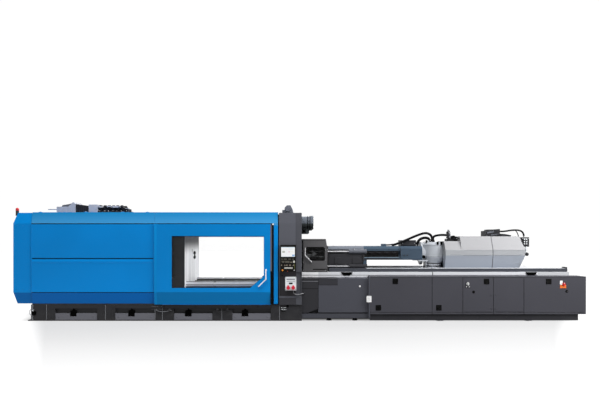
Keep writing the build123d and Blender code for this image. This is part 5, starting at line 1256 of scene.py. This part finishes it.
# Feed block: a blue-grey block that clamps the barrel's end, with a dark unit over its throat,
# screws in both covers and coolant couplings on its flanks.
throat_dark = ({"z": (1.791, 1.99)}, (0.016, 0.018, 0.022))
feed_paint = painted("feed_paint", slate_colour, 0.36, dust=0.0, marks=(throat_dark,))
dress(["feed_block"], feed_paint)
feed = Form()
for side in (-1, 1):
    feed.bolts(spots((2.63, 2.88, 3.13), side * 0.4, (1.48, 1.7)), (0, side, 0), 0.011)
    for x in (2.70, 2.78):
        coolant = [(0.0, 0.016), (0.014, 0.016), (0.016, 0.011), (0.034, 0.011)]
        feed.turned((x, side * 0.4, 1.56), (0, side, 0), coolant, 12, 2)
    feed.bar((2.66, 3.03), flank(side, 0.2, 0.208), (1.81, 1.92), 2, 0.012)
    feed.bolts(spots((2.69, 3.0), side * 0.208, 1.865), (0, side, 0), 0.009, 1)
feed.bar((2.606, 2.612), (-0.402, 0.402), (1.445, 1.735), 2)
feed.bar((2.642, 2.70), (-0.21, -0.19), (1.8, 1.945), 2, 0.006)
feed.turned((3.1, -0.06, 1.79), UP, [(-0.002, 0.032), (0.0003, 0.032)], 6, 1)
feed.made("feed_block_trim", "carriage", [feed_paint, bare_steel, support_paint], "slate_paint", 0.0012)

# Silver casting: sprayed iron bowl with machined rings round its foot, bolts on its top flange
# and a bright flange where the feed block meets it.
# The lower part of the bowl and its foot are painted pale, a painted light where they face down into shade.
cast_silver = painted(
    "cast_silver", (0.36, 0.38, 0.41), 0.36, dust=0.0, peel=0.25,
    marks=(
        ({"x": (3.32, 3.77), "z": (1.3, 1.515)}, (0.74, 0.76, 0.8)),
        ({"x": (3.32, 3.77), "z": (1.2, 1.3)}, (0.5, 0.52, 0.56)),
    ),
)
dress(["casting"], cast_silver)
CASTING_X = 3.535
CASTING_TOP = 1.899
bowl = Form()
bowl.bolts(circle((CASTING_X, 0, CASTING_TOP), "Z", 0.215, 16), UP, 0.013, 1)
bowl.bolts(circle((CASTING_X, 0, 1.222), "Z", 0.225, 16), UP, 0.012, 1)
bowl.turned((CASTING_X, 0, 1.205), UP, [(0.0, 0.256), (0.016, 0.256), (0.018, 0.2)], 56, 0, 0.19)
for z in (1.34, 1.272):
    ring = [(-0.012, 0.2), (-0.01, 0.212), (0.006, 0.212), (0.008, 0.2)]
    bowl.turned((CASTING_X, 0, z), UP, ring, 56, 2, 0.185)
bead = [math.radians(-140 + 10 * step) for step in range(29)]
bead = [(CASTING_X + 0.307 * math.cos(angle), 0.307 * math.sin(angle), 1.53) for angle in bead]
bowl.tube(bead, 0.012, 10)
collar = [(-0.006, 0.311), (-0.004, 0.316), (0.012, 0.316), (0.014, 0.311)]
bowl.turned((CASTING_X, 0, 1.82), UP, collar, 64, 0, 0.3)
flange = [(0.0, 0.26), (0.004, 0.3), (0.05, 0.3), (0.056, 0.214), (0.12, 0.211)]
bowl.turned((3.168, 0, AXIS_HEIGHT), RIGHT, flange, 48, 0, 0.2)
bowl.bolts(circle((3.222, 0, AXIS_HEIGHT), "X", 0.26, 12, 0.5), RIGHT, 0.014, 1)
for y in ((-0.44, -0.3), (0.3, 0.44)):
    bowl.bar((3.06, 3.3), y, (1.40, 1.432), 0, 0.01)
bowl.bar((3.3, 3.33), (-0.13, 0.13), (1.22, 1.42), 0, 0.01)
for x, y in ((3.56, -0.302), (3.66, -0.275)):
    bowl.bar((x, x + 0.05), (y - 0.02, y + 0.03), (1.825, 1.905), 3, 0.01)
bowl.bar((3.305, 3.335), (-0.19, -0.15), (1.76, 1.95), 3, 0.006)
plug = [(0.0, 0.02), (0.1, 0.02), (0.104, 0.028), (0.13, 0.028), (0.14, 0.014)]
bowl.turned((3.372, -0.14, 1.8), UP, plug, 20)
level_pipe = [
    (3.53, -0.02, 1.95), (3.53, -0.02, 2.03), (3.6, -0.03, 2.068),
    (3.74, -0.05, 2.085), (3.86, -0.07, 2.08), (3.9, -0.075, 2.08),
]
bowl.tube(level_pipe, 0.03, 14, 4)
bowl.bar((3.18, 3.25), (-0.37, -0.31), (1.475, 1.55), 3, 0.012)
bowl.turned((3.53, -0.02, CASTING_TOP), UP, [(0.0, 0.04), (0.05, 0.04), (0.06, 0.03)], 6, 3)
for x, y in ((3.482, -0.12), (3.432, -0.04)):
    bowl.turned((x, y, CASTING_TOP), UP, [(-0.002, 0.032), (0.0001, 0.032)], 6, 1)
outlet = [(0.0, 0.05), (0.03, 0.05), (0.035, 0.04), (0.07, 0.04)]
bowl.turned((CASTING_X, 0.12, CASTING_TOP), UP, outlet, 28, 3)
bowl_finishes = [cast_silver, bare_steel, support_paint, cast_black, hose_rubber]
bowl.made("casting_trim", "carriage", bowl_finishes, "silver_casting", 0.0015)

# Drive cover: pale grey sheet in two parts round a dark joint, bluer below its lower bend, with
# screws along the edges and a lifting eye plate on top.
# The top facets are painted a little darker and greyer than the sides, a painted shade against the strong
# light from above.
drive_paint = painted(
    "drive_paint", (0.31, 0.32, 0.335), 0.36, dust=0.0,
    marks=(
        ({"z": (1.2, 1.5525)}, (0.285, 0.31, 0.355)),
        ({"z": (1.6945, 2.0449)}, (0.29, 0.29, 0.3)),
        ({"x": (4.946, 4.9655)}, (0.1, 0.1, 0.115)),
    ),
)
dress(["drive_cover_front", "drive_cover_rear", "rear_carriage"], drive_paint)
for name, left, right in (("front", 4.19, 4.92), ("rear", 5.0, 5.66)):
    cover = Form()
    for side in (-1, 1):
        stations = [left + (right - left) * index / 3 for index in range(4)]
        cover.bolts(spots(stations, side * 0.5, (1.575, 1.675)), (0, side, 0), 0.007)
        cover.bar((left, right), flank(side, 0.4995, 0.502), (1.555, 1.559), 2)
        cover.bar((left, right), flank(side, 0.4995, 0.502), (1.690, 1.6945))
    cover.bolts(spots((left + 0.05, right - 0.05), (-0.29, 0.29), 2.045), UP, 0.009, 1)
    if name == "front":
        shape = [(0.42, 1.207), (0.5, 1.552), (0.5, 1.694), (0.33, 1.917)]
        inner = [(0.414, 1.207), (0.494, 1.553), (0.494, 1.692), (0.327, 1.911)]
        hoop = shape + [(-y, z) for y, z in shape[::-1]] + [(-y, z) for y, z in inner] + inner[::-1]
        cover.prism(hoop, 3.742, 3.848, "X")
        for side in (-1, 1):
            wing = [(side * y, z) for y, z in inner] + [(side * 0.245, 1.911), (side * 0.245, 1.207)]
            cover.prism(wing, 3.742, 3.748, "X")
        cover.bar((3.742, 3.748), (-0.245, 0.245), (1.903, 1.911))
        cover.bar((3.85, 4.14), (-0.322, -0.3), (1.9165, 1.921))
        cover.bar((3.852, 3.856), (-0.33, 0.33), (1.9, 1.9175), 2)
        cover.bar((3.86, 4.14), (-0.502, -0.498), (1.57, 1.572), 2)
    else:
        for index in range(6):
            z = 1.3 + index * 0.04
            cover.prism([(5.69, z), (5.705, z + 0.004), (5.70, z + 0.024)], -0.24, 0.24, "Y")
    cover_finishes = [drive_paint, bare_steel, support_paint]
    cover.made("drive_cover_trim_" + name, "carriage", cover_finishes, "drive_paint", 0.0008)


# Gear on the drive: a valve post with coils and couplings, the sloping unit with its cooling
# ribs and the black connector block on the drive's tail, all in dark satin paint.
gear_paint = painted("gear_paint", (0.022, 0.022, 0.025), 0.42, dust=0.0)
dress(["drive_gear"], gear_paint)
POST_X = 3.9375
post = Form()
cap = [(0.0, 0.036), (0.02, 0.036), (0.024, 0.026), (0.045, 0.024)]
post.turned((POST_X, 0, 2.177), UP, cap, 6, 1)
for z in (2.0, 2.06, 2.12):
    post.turned((POST_X, 0, z), UP, [(0.0, 0.046), (0.004, 0.052), (0.028, 0.052), (0.032, 0.046)], 28)
for z, reach in ((2.02, 0.1), (2.09, 0.08), (2.14, 0.09)):
    coil = [(0.0, 0.016), (reach * 0.4, 0.016), (reach * 0.45, 0.022), (reach, 0.02)]
    for side in (-1, 1):
        post.turned((POST_X, side * 0.045, z), (0, side, 0), coil, 16, 1)
        post.bar((3.905, 3.97), flank(side, 0.065, 0.105), (z - 0.02, z + 0.02), 0, 0.004)
post.bar((3.88, 3.93), (-0.16, -0.11), (1.99, 2.1), 0, 0.006)
post.bar((3.99, 4.12), (-0.12, 0.0), (1.977, 2.03), 0, 0.01)
post.bar((3.9, 3.96), (-0.135, -0.11), (2.03, 2.11), 3, 0.008)
post.bar((3.98, 4.03), (-0.13, -0.11), (2.0, 2.06), 3, 0.008)
post.turned((POST_X, -0.06, 2.13), FRONT, [(0.0, 0.02), (0.05, 0.02), (0.054, 0.014)], 20, 3)
post.bar((4.0, 4.06), (0.03, 0.11), (1.977, 2.06), 1, 0.008)
return_pipe = [
    (4.0, -0.14, 2.01), (4.06, -0.2, 2.03), (4.13, -0.28, 2.0), (4.19, -0.32, 1.965), (4.235, -0.33, 1.96)
]
post.tube(return_pipe, 0.014, 12, 2)
post.tube([(3.97, -0.15, 2.02), (4.0, -0.17, 2.05), (4.05, -0.18, 2.05), (4.1, -0.17, 2.0)], 0.018, 10, 2)
post.bolts(spots((3.885, 4.125), (-0.115, 0.115), 1.977), UP, 0.011, 1)
gear_finishes = [gear_paint, bare_steel, hose_rubber, grey_paint]
post.made("drive_post_trim", "carriage", gear_finishes, "base_paint", 0.002)
unit = Form()
for index in range(7):
    x = 4.885 + index * 0.052
    high = 2.187 + (x - 4.86) / 0.375 * 0.052
    for side in (-1, 1):
        unit.bar((x, x + 0.02), flank(side, 0.199, 0.207), (2.06, high - 0.008), 0, 0.004)
unit.bar((4.93, 5.16), (-0.14, 0.14), (2.19, 2.226), 0, 0.01)
unit.prism([(4.9, 2.16), (5.08, 2.186), (5.08, 2.15), (4.9, 2.12)], -0.2095, -0.199, "Y", 3)
unit.prism([(5.0, 2.09), (5.2, 2.112), (5.2, 2.1), (5.0, 2.07)], -0.2095, -0.199, "Y", 3)
unit.turned((5.2353, -0.06, 2.176), LEFT, [(-0.012, 0.018), (0.0, 0.02)], 6, 1)
unit.turned((5.36, -0.14, 2.045), UP, [(0.0, 0.02), (0.01, 0.02), (0.05, 0.012)], 16, 1)
unit.prism([(5.26, 2.045), (5.26, 2.115), (5.38, 2.105), (5.53, 2.075), (5.53, 2.045)], -0.2, -0.02, "Y")
unit.tube([(5.66, -0.07, 2.215), (5.7, -0.08, 2.19), (5.74, -0.09, 2.12), (5.76, -0.09, 2.045)], 0.012, 10, 2)
unit.made("drive_unit_trim", "carriage", gear_finishes, "base_paint", 0.002)
connector = Form()
for x in (5.82, 5.856, 5.892, 5.928, 5.964):
    connector.bar((x, x + 0.016), (-0.2, -0.188), (1.79, 2.008), 0, 0.004)
connector.bar((5.79, 5.99), (-0.204, -0.19), (1.79, 1.812), 0, 0.004)
for x, z in product((5.862, 5.918), (1.835, 1.893, 1.95)):
    connector.bar((x, x + 0.032), (-0.2065, -0.2), (z, z + 0.034), 2, 0.004)
connector.bar((5.81, 6.0), (-0.2065, -0.2), (1.986, 1.994), 2)
connector.bar((5.905, 5.945), (-0.2, -0.15), (1.6, 1.78), 2, 0.006)
cap = [(-0.06, 0.036), (0.02, 0.036), (0.024, 0.046), (0.06, 0.046), (0.066, 0.038)]
connector.turned((5.925, -0.19, 1.58), FRONT, cap, 28)
for place in spots(6.002, (-0.12, 0.0, 0.12), (1.84, 1.95)):
    connector.turned(place, RIGHT, [(-0.002, 0.03), (0.012, 0.03), (0.016, 0.024)], 20, 1)
connector.turned((5.912, -0.058, 2.022), UP, [(-0.002, 0.02), (0.002, 0.02)], 6, 1)
connector.bar((5.8, 5.87), (-0.205, -0.19), (1.735, 1.765), 1, 0.004)
connector_finishes = [gear_paint, bare_steel, pale_fitting]
connector.made("drive_connector_trim", "carriage", connector_finishes, "base_paint", 0.002)


# Roof gear: a grey cabinet with a raised shoulder, a ribbed duct and a stack of hydraulic
# valves with their coils, plugs and bent steel pipes, screwed to the roof sheet.
ROOF_MIDDLE = -0.5
roof_paint = painted("roof_paint", (0.36, 0.37, 0.42), 0.4, dust=0.0)
valve_black = moulded("valve_black", (0.02, 0.02, 0.024), 0.45, shine=0.2)
dress(["roof_cabinet"], roof_paint)
dress(["roof_valve_gear"], valve_black)
trim = Form()
aerial = [(0.0, 0.006), (0.01, 0.011), (0.32, 0.011), (0.328, 0.026)]
trim.turned((-6.44, ROOF_MIDDLE, 2.732), RIGHT, aerial, 20)
for x in (-6.06, -5.94, -5.82):
    trim.bar((x, x + 0.08), (-0.764, -0.758), (2.65, 2.764), 0, 0.006)
trim.bolts(spots((-6.095, -5.66), -0.76, (2.64, 2.77)), FRONT, 0.011)
trim.bar((-5.30, -5.11), (-0.765, -0.759), (2.66, 2.8), 0, 0.01)
trim.bolts(spots((-5.285, -5.125), -0.765, 2.73), FRONT, 0.009)
shoulder = [(-6.02, 2.775), (-5.99, 2.832), (-5.82, 2.858), (-5.76, 2.876), (-5.7, 2.876), (-5.7, 2.775)]
trim.prism(shoulder, -0.7, -0.3, "Y", 1)
trim.prism([(-5.13, 2.77), (-5.13, 2.822), (-5.0, 2.8), (-4.97, 2.77)], -0.74, -0.3, "Y")
trim.made("roof_cabinet_trim", "machine", [roof_paint, grey_paint], "drive_paint")

BLOCK_TOP = 2.679
stack = Form()
for index in range(6):
    x = -5.083 + (index + 0.5) * 0.64 / 6
    for side in (-1, 1):
        y = ROOF_MIDDLE + side * 0.158
        stack.bar((x - 0.022, x + 0.022), (y + side * 0.03, y + side * 0.075), (2.75, 2.8), 0, 0.004)
        stack.turned((x, y + side * 0.05, 2.8), UP, [(0.0, 0.02), (0.016, 0.02)], 12)
    stack.bar((x - 0.03, x + 0.03), (-0.6, -0.4), (2.741, 2.79), 1, 0.008)
    stack.bolt((x, -0.74, BLOCK_TOP), UP, 0.013, 1)
for x, rise in ((-4.98, 0.01), (-4.77, 0.0), (-4.66, 0.015), (-4.55, -0.01)):
    bridge = [
        (x, -0.69, 2.69), (x, -0.72, 2.72 + rise), (x + 0.07, -0.73, 2.8 + rise),
        (x + 0.16, -0.72, 2.73 + rise), (x + 0.19, -0.69, 2.69),
    ]
    stack.tube(bridge, 0.01, 12, 2)
for x, y, z, finish, cut in (
    ((-5.0, -4.86), (-0.5, -0.46), (2.74, 2.829), 0, 0.004),
    ((-4.86, -4.43), (-0.5, -0.46), (2.74, 2.82), 0, 0.004),
    ((-4.72, -4.56), (-0.738, -0.7), (2.766, 2.812), 3, 0.008),
    ((-4.85, -4.75), (-0.736, -0.7), (2.786, 2.81), 3, 0.006),
    ((-4.47, -4.35), (-0.5, -0.34), (BLOCK_TOP, 2.735), 0, 0.012),
    ((-5.08, -4.42), (-0.7, -0.32), (BLOCK_TOP, 2.775), 0, 0.01),
    ((-4.73, -4.49), (-0.73, -0.6), (2.772, 2.8), 3, 0.008),
    ((-4.87, -4.79), (-0.73, -0.62), (2.772, 2.79), 3, 0.008),
    ((-4.42, -4.33), (-0.7, -0.4), (BLOCK_TOP, 2.742), 0, 0.01),
    ((-4.42, -4.335), (-0.7, -0.56), (2.742, 2.752), 3, 0.003),
):
    stack.bar(x, y, z, finish, cut)
filter_cap = [(0.0, 0.04), (0.05, 0.04), (0.056, 0.032), (0.1, 0.03)]
stack.turned((-4.39, -0.62, BLOCK_TOP), UP, filter_cap, 24)
stack.bolts(spots((-5.05, -4.9, -4.6, -4.36), (-0.73, -0.27), BLOCK_TOP), UP, 0.012, 1)
stack_finishes = [valve_black, bare_steel, hose_rubber, roof_paint]
stack.made("roof_valves_trim", "machine", stack_finishes, "base_paint", 0.002)

# Beacon: a red moulded lens on a dark post, clamped to the leaning end wall and held by two
# thin rings.
lens_colour = (0.62, 0.02, 0.03)
lens_red, lens_shader, lens_place = blank("lens_red", lens_colour, 0.2)
lens_shader.inputs["Coat Weight"].default_value = 0.5
lens = noise(lens_place, 40.0).blend(tint(lens_colour, 0.85), tint((0.75, 0.03, 0.04), 1.1))
within(lens_place, z=(2.0, 2.655)).blend(lens, tint((0.02, 0.02, 0.022))).feed(lens_shader, "Base Color")
dress(["beacon"], lens_red)
beacon_trim = Form()
beacon_trim.turned((-6.854, -1.27, 2.652), UP, [(0.0, 0.0385), (0.006, 0.041), (0.012, 0.0385)])
beacon_trim.turned((-6.854, -1.27, 2.69), UP, [(0.0, 0.0382), (0.003, 0.0395), (0.006, 0.0382)])
beacon_trim.made("beacon_rings", "machine", [valve_black], "base_paint", 0.0)


# Hoses and the socket cable: black hydraulic hoses over the feed block and to the drive's tail,
# each in a thick wear sleeve that leaves its ends bare, and a short grey cable from the socket
# box into the bed cover.
cable_sheath = moulded("cable_sheath", (0.42, 0.42, 0.44), 0.5)


def lay(name, material, body, diameter, points):
    """A hose or cable on the NURBS spline of its points that stands for its CAD node."""
    curve = bpy.data.curves.new(name + "_run", "CURVE")
    curve.dimensions = "3D"
    curve.bevel_depth = diameter / 2
    curve.bevel_resolution = 5
    curve.resolution_u = 12
    curve.use_fill_caps = True
    spline = curve.splines.new("NURBS")
    spline.points.add(len(points) - 1)
    for point, place in zip(spline.points, points):
        point.co = (*place, 1.0)
    spline.order_u = 3
    spline.use_endpoint_u = True
    curve.materials.append(material)
    run = bpy.data.objects.new(name + "_run", curve)
    bpy.context.scene.collection.objects.link(run)
    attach(run, body)
    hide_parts(name)


for name, diameter, length, points in (
    (
        "hose_long", 0.036, 1.463,
        [
            (2.2503, -0.26, 1.822), (2.47, -0.26, 1.823), (2.76, -0.258, 1.94), (3.04, -0.246, 2.065),
            (3.28, -0.215, 2.142), (3.425, -0.16, 2.1), (3.48, -0.128, 2.01), (3.482, -0.12, 1.96),
            (3.482, -0.12, 1.8993),
        ],
    ),
    (
        "hose_thick", 0.044, 0.536,
        [
            (3.1, -0.06, 1.7903), (3.1, -0.06, 1.862), (3.142, -0.056, 1.938), (3.212, -0.052, 1.992),
            (3.318, -0.046, 2.012), (3.4, -0.042, 1.996), (3.432, -0.04, 1.948), (3.432, -0.04, 1.8993),
        ],
    ),
    (
        "hose_rear", 0.024, 0.8,
        [
            (5.2353, -0.06, 2.176), (5.4, -0.06, 2.177), (5.59, -0.063, 2.209), (5.76, -0.064, 2.214),
            (5.868, -0.06, 2.176), (5.912, -0.058, 2.096), (5.912, -0.058, 2.0223),
        ],
    ),
):
    lay(name, hose_rubber, "carriage", diameter, points)
lay(
    "socket_cable", cable_sheath, "machine", 0.01,
    [
        (-0.15, -1.43, 0.7417), (-0.15, -1.43, 0.705), (-0.138, -1.433, 0.672), (-0.108, -1.436, 0.65),
        (-0.068, -1.438, 0.643), (-0.022, -1.439, 0.646), (0.022, -1.436, 0.652), (0.058, -1.424, 0.657),
        (0.082, -1.398, 0.661), (0.092, -1.364, 0.665), (0.092, -1.3303, 0.665),
    ],
)
sleeves = Form()
for radius, steps, run in (
    (
        0.031, 20,
        [
            (2.4, -0.26, 1.823), (2.47, -0.26, 1.825), (2.76, -0.258, 1.94), (3.04, -0.246, 2.065),
            (3.28, -0.215, 2.142), (3.425, -0.16, 2.1), (3.48, -0.128, 2.01), (3.482, -0.12, 1.95),
        ],
    ),
    (
        0.036, 20,
        [
            (3.1, -0.06, 1.83), (3.1, -0.06, 1.862), (3.142, -0.056, 1.938), (3.212, -0.052, 1.992),
            (3.318, -0.046, 2.012), (3.4, -0.042, 1.996), (3.432, -0.04, 1.94),
        ],
    ),
    (
        0.022, 18,
        [
            (5.27, -0.06, 2.1762), (5.4, -0.06, 2.177), (5.59, -0.063, 2.209), (5.76, -0.064, 2.214),
            (5.868, -0.06, 2.176), (5.912, -0.058, 2.096), (5.912, -0.058, 2.05),
        ],
    ),
):
    sleeves.tube(run, radius, steps)
sleeves.made("hose_sleeves", "carriage", [hose_rubber], "hose_rubber", 0.0)
